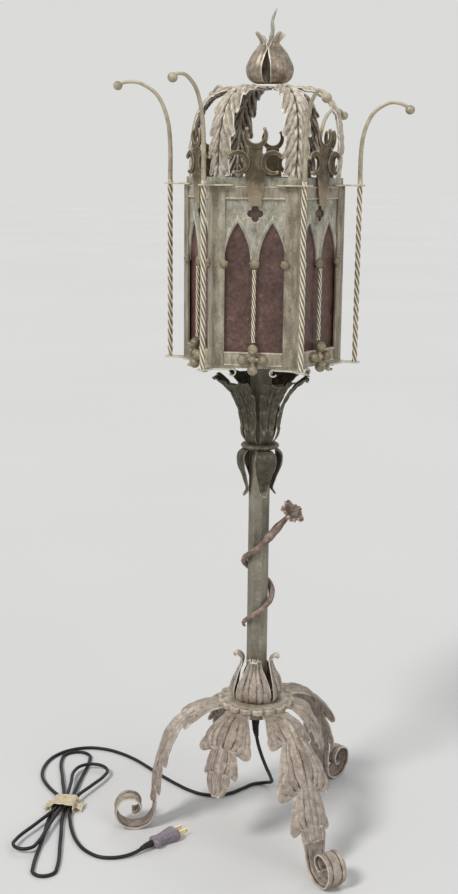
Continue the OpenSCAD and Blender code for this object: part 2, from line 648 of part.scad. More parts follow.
module finial_bud() {
    path = smooth([for (p = bud_path) [p[0] * bud_r / 29, crown_plate_t + 1 + p[1] * bud_h]], 2);
    n = len(path) - 1;
    spread = [for (i = [0:n]) read([[0, 30], [0.25, 38], [0.5, 38], [0.75, 26], [1, 7]], i / n)];
    color(leaf_iron) on_crown() ring_of([for (i = [0:3]) 250 + i * 90])
        sheet(petal(path, spread, 5), leaf_t);
}
module finial_spike() {
    base = crown_plate_t;
    tall = bud_h * 0.5 + spike_h;
    path = smooth([[0, 0, -6], [0, 0, 8], [0, 0, tall * 0.45], [1, 0, tall * 0.6], [3, 0, tall * 0.72],
        [2, 0, tall * 0.82], [5, 0, tall * 0.92], [8, 0, tall]], 2);
    n = len(path) - 1;
    radii = [for (i = [0:n]) read([[0, screw_r], [0.5, screw_r], [0.75, 2.4], [1, 0.8]], i / n)];
    color(iron) on_crown() translate([0, 0, base]) union() {
        tube(path, radii, 8, [1, 0, 0]);
        cylinder(r1 = 3.6, r2 = 4.4, h = 2.2, $fn = 32);
    }
}

// ---- Lamp holder ----

cap_z = post_z + nut_t + 3;
cap_h = 16;
shell_z = cap_z + cap_h;
wall = 0.8;
key_r = 2;
key_z = shell_z + 9;
module socket_cap() {
    color(brass) translate([0, 0, cap_z]) rotate_extrude($fn = 72) difference() {
        polygon([[tube_d / 2 + fit, 0], [9, 0], [12, 5], [socket_d / 2 - 1, 11], [socket_d / 2, cap_h],
            [socket_d / 2 - wall, cap_h], [socket_d / 2 - 2.2, 11.6], [11, 6.5], [8.4, 2.5],
            [tube_d / 2 + fit, 2.5]]);
    }
}
module socket_shell() {
    color(brass) difference() {
        translate([0, 0, shell_z]) cylinder(r = socket_d / 2, h = socket_h, $fn = 72);
        translate([0, 0, shell_z - 1]) cylinder(r = socket_d / 2 - wall, h = socket_h + 2, $fn = 72);
        translate([0, 0, key_z]) rotate([0, 90, 0])
            cylinder(r = key_r + 0.06, h = socket_d, $fn = 32);
    }
}
screw_z = shell_z + 16;
module screw_shell() {
    color("#cfc6b0") translate([0, 0, screw_z]) difference() {
        union() {
            cylinder(r = socket_d / 2 - wall - play, h = 3, $fn = 72);
            cylinder(r = screw_d / 2 + 1.2, h = socket_h - 18, $fn = 72);
        }
        translate([0, 0, 2]) cylinder(r = screw_d / 2 + play, h = socket_h, $fn = 72);
        translate([0, 0, -1]) cylinder(r = 2, h = 4, $fn = 32);
    }
}
module switch_key() {
    color("#1f1d1b") translate([0, 0, key_z]) rotate([0, 90, 0]) union() {
        translate([0, 0, 6]) cylinder(r = key_r, h = socket_d / 2 - 1, $fn = 32);
        translate([0, 0, socket_d / 2 + 0.6]) cylinder(r = 3.4, h = 5, $fn = 32);
        translate([-1.5, -4.5, socket_d / 2 + 5.6]) cube([3, 9, 13]);
    }
}
bulb_z = screw_z + 2.3;
module bulb_base() {
    color("#b9b9b4") translate([0, 0, bulb_z]) rotate_extrude($fn = 72) polygon([[0, 0], [4, 0],
        [5, 2], [9, 4], [screw_d / 2, 6], [screw_d / 2, 25], [0, 25]]);
}
module bulb_glass() {
    r = bulb_d / 2;
    neck = screw_d / 2 - 1;
    z = bulb_z + 25;
    centre = z + r + 22;
    color([0.95, 0.93, 0.88, 0.6]) rotate_extrude($fn = 72) difference() {
        union() {
            translate([0, centre]) intersection() {
                circle(r = r, $fn = 96);
                translate([0, -r]) square([r, 2 * r]);
            }
            polygon([[0, z], [neck, z], [neck + 1, z + 8], [r * 0.78, centre - r * 0.62], [0, centre]]);
        }
        union() {
            translate([0, centre]) intersection() {
                circle(r = r - 1, $fn = 96);
                translate([0, -r]) square([r, 2 * r]);
            }
            polygon([[0, z - 1], [neck - 1, z - 1], [neck, z + 8], [(r - 1) * 0.78, centre - (r - 1) * 0.62],
                [0, centre]]);
        }
    }
}
module inner_cord() {
    color("#111111") translate([0, 0, run_route[0][2]])
        cylinder(r = cord_d / 2, h = shell_z - run_route[0][2] + 4, $fn = 32);
}

// ---- Cord, tie and plug ----

function loop_arc(l) = let (
        z = cord_d / 2 + l[4] * (cord_d + 0.8),
        mid = hank_at + (l[1] - l[2]) * [cos(l[0]), sin(l[0])])
    [for (k = [0:loop_points - 1]) let (a = l[0] + l[3] * (-100 + 200 * k / (loop_points - 1)))
        [mid[0] + l[2] * cos(a), mid[1] + l[2] * sin(a), z]];
// A loop with a ring halfway along each of its straight runs
function with_runs(before, arc, after) =
    concat([(before + arc[0]) / 2], arc, [(arc[len(arc) - 1] + after) / 2]);
// A strand's two points in the tie, from the side it comes from to the side it goes to
function waist(u, from, layer_in, layer_out) = [for (s = [from, -from])
    [hank_at[0] + u * lane, hank_at[1] + s * 18,
     cord_d / 2 + hank_lift + (s == from ? layer_in : layer_out) * (cord_d + 0.5)]];
passes = [
    waist(loops[0][5], 1, 0, 0),
    waist(loops[0][6], -1, 0, 0),
    waist(loops[1][6], 1, 0, 1),
    waist(loops[2][6], -1, 1, 1),
    waist(loops[3][6], 1, 1, 0)];
hank_points = concat(
    [run_route[len(run_route) - 1]],
    [for (i = [0:len(loops) - 1])
        each concat(passes[i], with_runs(passes[i][1], loop_arc(loops[i]), passes[i + 1][0]))],
    passes[len(loops)], [lead_route[0]]);
fine_steps = 12;
fine_hank = [for (i = [0:len(hank_points) - 2], s = [0:fine_steps - 1])
    hank_points[i] + (hank_points[i + 1] - hank_points[i]) * s / fine_steps];
hank_gap = min([for (i = [0:len(fine_hank) - 1], k = [i + 3 * fine_steps:1:len(fine_hank) - 1])
    norm(fine_hank[i] - fine_hank[k])]) - cord_d;
module cord_run() {
    color("#151515") tube(smooth(run_route, 2), [cord_d / 2], 8, [1, 0, 0]);
}
module cord_hank() {
    echo(hank_gap = hank_gap, hank_length = route_length(fine_hank));
    color("#151515") tube(hank_points, [cord_d / 2], 6, [0, 0, 1]);
}
module cord_lead() {
    color("#151515") tube(smooth(lead_route, 2), [cord_d / 2], 8, [0, 0, 1]);
}
module cord_tie() {
    lanes = [loops[0][5], loops[3][6]];
    w = (lanes[1] - lanes[0]) * lane + cord_d + 2 * tie_t + 4 * play;
    h = 2 * cord_d + hank_lift + 2 * tie_t + 1;
    color("#d8cfae") translate([hank_at[0] + (lanes[0] + lanes[1]) / 2 * lane, hank_at[1] + tie_l / 2, 0])
        rotate([90, 0, 0])
        linear_extrude(tie_l) difference() {
            union() {
                translate([-w / 2, 0]) square([w, h]);
                translate([-w / 2 - 11, h * 0.35]) square([w + 22, 2]);
            }
            translate([-w / 2 + tie_t, tie_t]) square([w - 2 * tie_t, h - 2 * tie_t]);
        }
}
module on_plug() {
    translate(plug_at) rotate([0, 0, plug_turn]) children();
}
module plug_body() {
    color("#8f8c98") on_plug() hull() {
        translate([plug_l - 1, -plug_w / 2, -plug_h / 2]) cube([1, plug_w, plug_h]);
        translate([8, -plug_w * 0.36, -plug_h * 0.42]) cube([1, plug_w * 0.72, plug_h * 0.84]);
        translate([0, -5, -5]) cube([1, 10, 10]);
    }
}
module plug_blades() {
    color(brass) on_plug() for (s = [-1, 1]) difference() {
        translate([plug_l, s * blade_pitch / 2 - blade_t / 2, -blade_w / 2])
            cube([blade_l, blade_t, blade_w]);
        translate([plug_l + blade_l - 4, s * blade_pitch / 2, 0]) rotate([90, 0, 0])
            cylinder(r = 1.6, h = 4, center = true, $fn = 24);
    }
}

leg_left();
leg_front();
leg_rear();
short_leaf_front();
short_leaf_right();
short_leaf_rear();
translate([0, 0, ring_z]) base_ring();
hub_disc();
hub_nut();
cord_bushing();
base_calyx();
threaded_tube();
stem_pipe();
stem_vine();
vine_blossom();
neck_collar();
upper_calyx();
capital_leaves();
lantern_floor();
floor_nut();
bottom_rail();
top_rail();
top_rim();
corner_posts();
mica_panes();
mullions();
arch_studs();
ball_crosses();
bottom_brackets();
top_brackets();
cresting();
crown_straps();
crown_plate();
finial_bud();
finial_spike();
socket_cap();
socket_shell();
screw_shell();
switch_key();
bulb_base();
bulb_glass();
inner_cord();
cord_run();
cord_hank();
cord_lead();
cord_tie();
plug_body();
plug_blades();
for (i = [1:6]) {
    tracery(i - 1);
    rod(i - 1);
}
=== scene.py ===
import math

import bmesh
import bpy
import numpy as np
from mathutils import Matrix


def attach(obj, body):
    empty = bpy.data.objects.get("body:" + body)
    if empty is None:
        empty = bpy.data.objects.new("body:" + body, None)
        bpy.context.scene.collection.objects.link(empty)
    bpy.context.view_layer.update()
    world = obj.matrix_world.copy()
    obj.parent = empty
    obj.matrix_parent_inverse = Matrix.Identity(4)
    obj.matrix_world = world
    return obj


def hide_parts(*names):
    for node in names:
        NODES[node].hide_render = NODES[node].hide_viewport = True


# Wrought-iron lantern floor lamp. All shapes are worked out in millimetres and placed in metres by put().

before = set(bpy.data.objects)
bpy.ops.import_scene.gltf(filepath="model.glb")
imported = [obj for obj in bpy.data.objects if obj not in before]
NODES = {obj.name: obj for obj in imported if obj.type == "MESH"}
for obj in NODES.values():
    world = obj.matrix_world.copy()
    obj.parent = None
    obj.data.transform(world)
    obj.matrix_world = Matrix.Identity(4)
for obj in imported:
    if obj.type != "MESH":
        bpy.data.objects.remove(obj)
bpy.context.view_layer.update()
MM = 0.001
JOIN = 0.002  # Points closer than this, in mm, become one
FACES = [30 + 60 * i for i in range(6)]
CORNERS = [60 * i for i in range(6)]


def cosd(degrees):
    return math.cos(math.radians(degrees))


def sind(degrees):
    return math.sin(math.radians(degrees))


# ---- Numbers shared with the part ----

COS30, TAN30 = cosd(30), math.tan(math.radians(30))
LANTERN_R = 103.5
FACE_R = LANTERN_R * COS30
SHEET = 2.5
PLATE_R = FACE_R - SHEET
PANE_R = PLATE_R - SHEET - 0.2
FLOOR_Z, POST_Z, TOP_Z = 665, 667.5, 888
RAIL_H, LOW_RAIL_H, RIM_H = 16, 17.5, 10
RAIL_Z = TOP_Z - RAIL_H
SPRING_Z = RAIL_Z - 78
FLANGE = 15
BETWEEN = 2 * FACE_R * TAN30 - 2 * FLANGE  # Between the flanges of two posts
CROSS_Z = POST_Z + LOW_RAIL_H / 2
CROSS_BALL = 7.3
CROSS_REACH = CROSS_BALL * 1.9
ROD_RING, ROD_R, ROD_TURNS = 122, 3.1, 5
CROWN_Z, CROWN_SHIFT = 1008, 5
STEM_Z = 190
SEAT_Z = 181.9
COLLAR_Z, COLLAR_T = 545, 7
STEM_R = 27 / 2 / cosd(22.5)
CORD_D = 5


# ---- Curves and grids ----

def unit(v):
    v = np.asarray(v, float)
    return v / np.maximum(np.linalg.norm(v, axis=-1, keepdims=True), 1e-12)


def pts(*parts):
    """Points from their coordinates, or faces from the numbers of their corners."""
    return np.stack(parts, -1)


def polar(r, a, *rest):
    """Points at radius r and angle a in radians, with a third coordinate where it is given."""
    return pts(r * np.cos(a), r * np.sin(a), *rest)


def around(n):
    return 2 * np.pi * np.arange(n) / n


def rotated(x, y, degrees):
    c, s = cosd(degrees), sind(degrees)
    return x * c - y * s, x * s + y * c


def turned(points, degrees):
    x, y, z = np.moveaxis(np.asarray(points, float), -1, 0)
    return pts(*rotated(x, y, degrees), z)


def smooth(points, steps):
    """The part's own smooth curve through points."""
    p = np.asarray(points, float)
    last = len(p) - 1
    out = []
    for i in range(last):
        a, b, c, d = p[max(i - 1, 0)], p[i], p[i + 1], p[min(i + 2, last)]
        for k in range(steps):
            s = k / steps
            out.append(0.5 * (2 * b + (c - a) * s + (2 * a - 5 * b + 4 * c - d) * s * s
                              + (3 * b - a - 3 * c + d) * s ** 3))
    return np.array(out + [p[last]])


def read(table, x):
    t = smooth(table, 8)
    return np.interp(x, t[:, 0], t[:, 1])


def ease(x, lo, hi):
    t = np.clip((np.asarray(x, float) - lo) / (hi - lo), 0, 1)
    return t * t * (3 - 2 * t)


class Line:
    """A curve read by the distance along it, straight beyond its ends."""

    def __init__(self, points, steps=8):
        self.p = smooth(points, steps)
        self.s = np.concatenate([[0], np.cumsum(np.linalg.norm(np.diff(self.p, axis=0), axis=1))])
        self.length = self.s[-1]

    def at(self, s):
        s = np.asarray(s, float)
        out = pts(*(np.interp(s, self.s, across) for across in self.p.T))
        out = out + np.maximum(s - self.length, 0)[..., None] * unit(self.p[-1] - self.p[-2])
        return out + np.minimum(s, 0)[..., None] * unit(self.p[1] - self.p[0])

    def along(self, s):
        return unit(self.at(s + 1.5) - self.at(s - 1.5))


def skin(g, w, thick, edge=0.45):
    """A closed sheet round the middle surface g, thinner at its rims. w runs from -1 to 1 across it."""
    rows, cols = g.shape[:2]
    n = unit(np.cross(np.gradient(g, axis=0), np.gradient(g, axis=1)))
    t = thick / 2 * (edge + (1 - edge) * (1 - np.abs(w) ** 8)) * np.ones((rows, 1))
    t[0], t[-1] = t[0] * edge, t[-1] * edge
    v = np.concatenate([(g + n * t[..., None]).reshape(-1, 3), (g - n * t[..., None]).reshape(-1, 3)])
    k = np.arange(rows * cols).reshape(rows, cols)
    top = pts(k[:-1, :-1], k[1:, :-1], k[1:, 1:], k[:-1, 1:]).reshape(-1, 4)
    rim = np.concatenate([k[:, 0], k[-1, 1:], k[-2::-1, -1], k[0, -2:0:-1]])
    nxt = np.roll(rim, -1)
    side = pts(nxt, rim, rim + rows * cols, nxt + rows * cols)
    return v, [top, top[:, ::-1] + rows * cols, side]


def loft(rings, closed=False):
    """A tube through rings of points, capped at its ends or closed round."""
    rows, n = rings.shape[:2]
    k = np.arange(rows * n).reshape(rows, n)
    a, b = (k, np.roll(k, -1, 0)) if closed else (k[:-1], k[1:])
    faces = [pts(a, np.roll(a, -1, 1), np.roll(b, -1, 1), b).reshape(-1, 4)]
    if not closed:
        faces += [k[:1, ::-1], k[-1:]]
    return rings.reshape(-1, 3), faces


def sweep(points, section, size=1.0, first=(1, 0, 0), spin=0.0):
    """A section carried along points: size scales it ring by ring, spin is its twist in degrees."""
    p = np.asarray(points, float)
    t = unit(np.vstack([p[1] - p[0], p[2:] - p[:-2], p[-1] - p[-2]]))
    n = np.array(first, float)
    rings = []
    size = np.ones(len(p)) * size
    for i in range(len(p)):
        n = unit(n - (n @ t[i]) * t[i])
        m = np.cross(t[i], n)
        a = math.radians(spin) * i / (len(p) - 1)
        x, y = section[:, 0] * size[i], section[:, 1] * size[i]
        u, v = x * math.cos(a) - y * math.sin(a), x * math.sin(a) + y * math.cos(a)
        rings.append(p[i] + u[:, None] * n + v[:, None] * m)
    return loft(np.array(rings))


def rounded(n, power=2.0, x=1.0, y=1.0):
    """An outline between a circle (power 2) and a square."""
    a = 2 * np.pi * (np.arange(n) + 0.5) / n
    c, s = np.cos(a), np.sin(a)
    r = (np.abs(c) ** power + np.abs(s) ** power) ** (-1 / power)
    return pts(x * c * r, y * s * r)


def twisted_outline(n=32, depth=0.3):
    """A twisted bar's section: four rounded strands with a groove between each two."""
    a = around(n)
    return polar(1 - depth * np.sin(2 * a) ** 2, a)


def lathe(profile, count):
    p = np.asarray(profile, float)
    return loft(polar(p[:, :1], around(count), p[:, 1:] * np.ones(count)), closed=True)


def moved(part, degrees=0.0, by=(0, 0, 0)):
    v, f = part
    return turned(v, degrees) + np.array(by, float), f


def on_face(part, out, z=0.0):
    """From a flat drawing (across, up, thickness) to the face on the +X side, out mm from the axis."""
    v, f = part
    return pts(v[:, 2] + out, v[:, 0], v[:, 1] + z), f


def round_all(parts, turns):
    return [moved(p, a) for a in turns for p in parts]


def fetch(items, key, width, kind=float):
    """One of a mesh's arrays, in rows of width."""
    out = np.empty(len(items) * width, kind)
    items.foreach_get(key, out)
    return out.reshape(-1, width)


def plate(outlines, thick, bevel=0.4, steps=1):
    """A flat piece with rounded edges from closed outlines, the first outside and the others holes."""
    curve = bpy.data.curves.new("outline", "CURVE")
    curve.dimensions, curve.fill_mode = "2D", "BOTH"
    for loop in outlines:
        spline = curve.splines.new("POLY")
        spline.points.add(len(loop) - 1)
        flat = np.hstack([loop, np.zeros((len(loop), 1)), np.ones((len(loop), 1))])
        spline.points.foreach_set("co", flat.ravel())
        spline.use_cyclic_u = True
    curve.extrude, curve.bevel_depth = thick / 2 - bevel, bevel
    curve.bevel_resolution, curve.offset = steps, -bevel
    thing = bpy.data.objects.new("outline", curve)
    mesh = bpy.data.meshes.new_from_object(thing)
    v = fetch(mesh.vertices, "co", 3)
    v[:, 2] += thick / 2
    faces = [np.array([list(p.vertices)]) for p in mesh.polygons]
    bpy.data.objects.remove(thing)
    bpy.data.curves.remove(curve)
    bpy.data.meshes.remove(mesh)
    return v, faces


def circle(r, n, start=0.0):
    return polar(r, around(n) + start)


def ball(r, at, flat=1.0, count=20, dents=0.0):
    """A hand-filed ball, slightly uneven."""
    a = np.linspace(0, np.pi, 13)
    b = around(count)
    uneven = 1 + dents * np.sin(3 * a)[:, None] * np.cos(2 * b + 1)
    x = np.sin(a)[:, None] * np.cos(b) * uneven
    y = np.sin(a)[:, None] * np.sin(b) * uneven
    z = np.cos(a)[:, None] * np.ones(count)
    rings = pts(x * r, y * r, z * r * flat)
    # The poles are tiny rings, so that no two points fall together
    rings[[0, -1]] += polar(1, b, 0 * b) * 0.02
    v, f = loft(rings)
    return v + np.array(at, float), f


# ---- Materials ----

def rgb(code):
    """A linear colour from its hex code."""
    shares = [v / 255 for v in bytes.fromhex(code)]
    out = [v / 12.92 if v <= 0.04045 else ((v + 0.055) / 1.055) ** 2.4 for v in shares]
    return (*out, 1.0)


class Nodes:
    """Builds a node tree. Numbers and colours are set on the sockets, and node outputs are linked."""

    def __init__(self, tree):
        self.t = tree
        tree.nodes.clear()

    def feed(self, socket, value):
        if isinstance(value, (tuple, float, int)):
            socket.default_value = value
        else:
            self.t.links.new(value, socket)

    def node(self, kind, sockets, out=0, **settings):
        n = self.t.nodes.new("ShaderNode" + kind)
        for key, value in settings.items():
            setattr(n, key, value)
        for key, value in sockets.items():
            self.feed(n.inputs[key], value)
        return None if out is None else n.outputs[out]

    def maths(self, kind, a, b):
        return self.node("Math", {0: a, 1: b}, operation=kind)

    def mix(self, fac, a, b, blend="MIX"):
        return self.node("Mix", {0: fac, 6: a, 7: b}, 2, data_type="RGBA", blend_type=blend)

    def spread(self, value, a, b, lo, hi):
        """Carries a to b over to lo to hi."""
        return self.node("MapRange", {0: value, 1: a, 2: b, 3: lo, 4: hi})

    def ramp(self, fac, stops):
        r = self.t.nodes.new("ShaderNodeValToRGB")
        while len(r.color_ramp.elements) < len(stops):
            r.color_ramp.elements.new(0.5)
        for e, (at, colour) in zip(r.color_ramp.elements, stops):
            e.position, e.color = at, colour
        self.feed(r.inputs[0], fac)
        return r.outputs[0]


class Paint(Nodes):
    """A material of one Principled shader."""

    def __init__(self, name):
        self.m = bpy.data.materials.new(name)
        self.m.use_nodes = True
        super().__init__(self.m.node_tree)
        self.bsdf = self.t.nodes.new("ShaderNodeBsdfPrincipled")
        self.node("OutputMaterial", {0: self.bsdf.outputs[0]}, None)
        self.coord = self.t.nodes.new("ShaderNodeTexCoord").outputs["Object"]

    def noise(self, size, detail=4.0, rough=0.55, stretch=None):
        """Noise with features about size mm across."""
        at = self.node("Mapping", {"Scale": stretch, "Vector": self.coord}) if stretch else self.coord
        return self.node("TexNoise", {"Scale": 500 / size, "Detail": detail, "Roughness": rough, "Vector": at})

    def surface(self, bump=None, **sockets):
        """Sets the shader, with bump as (height, depth in mm), and gives the material."""
        if bump:
            height, depth = bump
            sockets["Normal"] = self.node("Bump", {"Distance": depth * MM, "Strength": 1.0, "Height": height})
        for name, value in sockets.items():
            self.feed(self.bsdf.inputs[name.replace("_", " ")], value)
        return self.m


def finish(name, colours, marks, at=(0.4, 0.7), sizes=(60, 13, 4, 1.2), rough=(0.42, 0.72), metal=0.3,
           depth=0.5, grain=0.5, wear_and_light=0.85, fleck_at=0.64, coat=0.0, specular=0.5, streak=0.0, ragged=0.13,
           dirt_and_shade_reach=0.5, low=None):
    """A blotched and worn surface: colours from dark to light over large to small noise. marks are the
    colours of worn edges with painted highlight, of dirt with painted shade in hollows and of flecks; low is
    another colour below a height in mm."""
    p = Paint(name)
    worn_and_highlight, dirt_and_shade, *fleck = [rgb(code) for code in marks.split()]
    large, middle, small, fine = (p.noise(s, d, 0.6) for s, d in zip(sizes, (3, 5, 4, 3)))
    if streak:
        small = p.noise(sizes[2], 4, 0.6, (1, 1, streak))
    blotch = p.maths("ADD", p.maths("MULTIPLY", large, 0.25), p.maths("MULTIPLY", middle, 0.35))
    blotch = p.maths("ADD", blotch, p.maths("MULTIPLY", small, 0.4))
    colour = p.ramp(p.spread(blotch, 0.33, 0.67, 0, 1), list(zip((0, *at, 1), map(rgb, colours.split()))))
    if fleck:
        spots = p.spread(p.noise(sizes[1] * 0.5, 6, 0.72), fleck_at, fleck_at + 0.08, 0, 0.8)
        colour = p.mix(spots, colour, fleck[0])
    shade = p.ramp(fine, [(0.32, (0.55, 0.54, 0.52, 1)), (0.5, (0.95, 0.95, 0.95, 1)),
                          (0.68, (1.3, 1.3, 1.28, 1))])
    colour = p.mix(grain, colour, shade, "MULTIPLY")
    if low:
        rise = p.maths("ADD", p.node("SeparateXYZ", {0: p.coord}, 2), p.spread(middle, 0.3, 0.7, -0.006, 0.006))
        colour = p.mix(p.spread(rise, low[0] * MM, low[1] * MM, 0.85, 0), colour, low[2])
    # Painted light from the mesh's curvature: hollows take the dirt colour as dirt and painted shade, ridges and
    # edges take the worn colour as wear and painted highlight
    wear_and_light_mark = p.node("Attribute", {}, "Fac", attribute_name="wear_and_light")
    uneven = p.maths("ADD", wear_and_light_mark, p.spread(small, 0.32, 0.68, -ragged, ragged))
    colour = p.mix(p.spread(uneven, -0.05, -dirt_and_shade_reach, 0, 0.92), colour, dirt_and_shade)
    colour = p.mix(p.spread(uneven, 0.2, 0.72, 0, wear_and_light), colour, worn_and_highlight)
    height = p.maths("ADD", p.maths("MULTIPLY", small, 0.6), p.maths("MULTIPLY", fine, 0.4))
    return p.surface((height, depth), Base_Color=colour, Roughness=p.spread(middle, 0.3, 0.7, *rough),
                     Metallic=metal, Coat_Weight=coat, Specular_IOR_Level=specular)


IRON = finish("aged_iron", "706b5e 969384 a9a595 c4beae", "e8e2d2 342e26 7a6852", at=(0.35, 0.65), streak=0.4,
              grain=0.6)
POST = finish("post_iron", "685c4c 887d6c 988e7c aea492", "e2dac8 342c24 7c644c", at=(0.35, 0.65), streak=0.25,
              grain=0.6)
LEAF = finish("leaf_iron", "726258 94867a aca093 cac0b4", "f0e9df 34211c 8e685c", at=(0.35, 0.65), depth=0.45,
              ragged=0.07, dirt_and_shade_reach=0.28, fleck_at=0.66)
STRAP = finish("crown_iron", "786a5a a49786 bcb1a2 d6cdc0", "f4eee2 241b13 7c705a", at=(0.35, 0.65), ragged=0.08,
              dirt_and_shade_reach=0.3)
# A darker iron for the collar, upper calyx and capital under the lantern: the extra darkness is painted shade
SHADED_IRON = finish("shaded_iron", "2c2820 484438 5c5848 76705e", "a09882 181511 625036", metal=0.35)
TAN = finish("tan_iron", "62523e 887b64 9e927a c2b698", "f0e6ce 382c22 a88c5c", sizes=(50, 10, 3.2, 1.0),
              fleck_at=0.68)
ROD = finish("rod_iron", "766a54 8e8168 9e9176 ac9a7a", "f4ecd8 3a2e20 a88654", sizes=(50, 14, 4, 1.0),
              fleck_at=0.7, ragged=0.06, grain=0.3, wear_and_light=0.95)
STEM = finish("stem_iron", "544a3e 7c7466 8e8a7c a89884", "bab09c 2c2620 8e7454", sizes=(80, 16, 4.5, 1.2),
              streak=0.18)
VINE = finish("vine_iron", "4e3e36 78665c 928074 b4a294", "d6c8ba 30241e 644c38", sizes=(30, 8, 2.8, 1.0))
CREST = finish("cresting_iron", "3e3426 544836 62543e 7a684c", "d4c4a4 201a14 8a6c44", sizes=(40, 12, 4.0, 1.2),
              fleck_at=0.7, ragged=0.08, grain=0.35, low=(RAIL_Z + 4, RAIL_Z + 26, rgb("988a74")))
BUD_IRON = finish("bud_iron", "625242 8e8070 b2a696 d8d0c2", "e4dccc 2e261e 705c42", metal=0.35,
              sizes=(40, 12, 4.0, 1.2), fleck_at=0.68, ragged=0.1, depth=0.4, rough=(0.3, 0.5))
MICA = finish("mica", "36201b 523831 654a41 886a5a", "8c7264 281816 966854", metal=0, sizes=(34, 8, 2.6, 0.9),
              rough=(0.3, 0.48), depth=0.15, coat=0.15, fleck_at=0.62)
BRASS = finish("brass", "70562c a88446 c4a25e", "e2c88c 40321c 584c32", at=(0.5,), sizes=(20, 6, 2, 0.6),
              rough=(0.28, 0.5), metal=0.85, depth=0.08, grain=0.4)
NICKEL = finish("nickel", "84827c acaaa2 c6c2ba", "dedcd4 504c44", at=(0.5,), sizes=(18, 5, 2, 0.6),
              rough=(0.22, 0.42), metal=0.9, depth=0.06, grain=0.4)
BLADE = finish("blade_brass", "d6bc78 eed89c faecbe", "fffae2 967846", at=(0.5,), sizes=(12, 4, 1.5, 0.5),
              rough=(0.2, 0.35), metal=0.55, depth=0.05, grain=0.3)
BAKELITE = finish("bakelite", "161210 241d19 34261e", "4e4036 0c0a09", at=(0.5,), metal=0, sizes=(16, 5, 2, 0.7),
              rough=(0.28, 0.42), depth=0.05, coat=0.2, grain=0.4)
RUBBER = finish("cord_rubber", "0e0b0e 161216 241f23", "3c3638 080708", at=(0.5,), metal=0,
              sizes=(40, 9, 3, 0.8), rough=(0.42, 0.62), depth=0.12, grain=0.4, specular=0.35)
PAPER = finish("tape", "b09e7c ccbc9c e2d6bc", "f2ead6 786448 aa926e", at=(0.5,), metal=0, sizes=(14, 5, 2, 0.6),
              rough=(0.75, 0.95), depth=0.3, specular=0.2, grain=0.4)
PLUG = finish("plug_plastic", "645a62 80767e 988e94", "b8aeb4 383036", at=(0.5,), metal=0, sizes=(14, 5, 2, 0.6),
              rough=(0.35, 0.5), depth=0.1, coat=0.1, grain=0.4)


p = Paint("bulb_glass")
haze = p.noise(9, 3)
GLASS = p.surface((p.noise(0.6, 2), 0.03), Roughness=p.spread(haze, 0.3, 0.7, 0.3, 0.5),
                  Transmission_Weight=0.55, Coat_Weight=0.3,
                  Base_Color=p.ramp(haze, [(0.3, rgb("e2ded4")), (0.7, rgb("f4f2ea"))]))


# ---- Placing ----

def placed(name, data):
    thing = bpy.data.objects.new(name, data)
    bpy.context.scene.collection.objects.link(thing)
    return thing


def wear_and_light_map(mesh, scale):
    """Convex edges and ridges towards 1, hollows towards -1, from the mesh's own curvature. It marks where worn
    colour with painted highlight and dirt colour with painted shade go.
    """
    n = len(mesh.vertices)
    co, no = fetch(mesh.vertices, "co", 3) / MM, fetch(mesh.vertex_normals, "vector", 3)
    a, b = fetch(mesh.edges, "vertices", 2, np.int32).T
    d = co[a] - co[b]
    far = np.maximum((d * d).sum(1), 0.16)
    k = (np.bincount(a, (no[a] * d).sum(1) / far, n) - np.bincount(b, (no[b] * d).sum(1) / far, n))
    count = np.maximum(np.bincount(a, minlength=n) + np.bincount(b, minlength=n), 1)
    k = np.clip(k / count * scale, -1.5, 1.5)
    for _ in range(2):
        k = 0.4 * k + 0.6 * (np.bincount(a, k[b], n) + np.bincount(b, k[a], n)) / count
    wear_and_light_mark = mesh.attributes.new("wear_and_light", "FLOAT", "POINT")
    wear_and_light_mark.data.foreach_set("value", np.clip(k, -1, 1).astype(np.float32))


def put(name, parts, material, nodes=(), body="lamp", sharp=35, wear_and_light=2.2):
    """One piece from its parts, on its body, in place of its CAD nodes."""
    verts, faces, start = [], [], 0
    for v, f in parts:
        verts.append(v)
        for block in f:
            faces += (np.asarray(block) + start).tolist()
        start += len(v)
    mesh = bpy.data.meshes.new(name)
    mesh.from_pydata((np.concatenate(verts) * MM).tolist(), [], faces)
    bm = bmesh.new()
    bm.from_mesh(mesh)
    bmesh.ops.remove_doubles(bm, verts=bm.verts, dist=JOIN * MM)
    bmesh.ops.recalc_face_normals(bm, faces=bm.faces)
    bm.to_mesh(mesh)
    bm.free()
    mesh.polygons.foreach_set("use_smooth", [True] * len(mesh.polygons))
    mesh.set_sharp_from_angle(angle=math.radians(sharp))
    wear_and_light_map(mesh, wear_and_light)
    mesh.materials.append(material)
    thing = placed(name, mesh)
    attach(thing, body)
    if nodes:
        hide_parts(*nodes)
    return thing


# ---- Camera ----

camera = placed("camera", bpy.data.cameras.new("camera"))
# Fitted to the photo: its place in m, and its heading, downward tilt and roll in degrees
CAMERA_AT, HEADING, DOWN, ROLL = (0.1959, -1.6554, 0.9136), 8.17, 12.47, 0.6
camera.data.sensor_fit = "VERTICAL"
camera.data.sensor_height = 36
camera.data.lens = 51.49
camera.data.clip_start, camera.data.clip_end = 0.05, 100
camera.matrix_world = (Matrix.Translation(CAMERA_AT) @ Matrix.Rotation(math.radians(HEADING), 4, "Z")
                       @ Matrix.Rotation(math.radians(90 - DOWN), 4, "X")
                       @ Matrix.Rotation(math.radians(ROLL), 4, "Z"))
bpy.context.scene.camera = camera


# ---- Cord, its tie and its plug ----

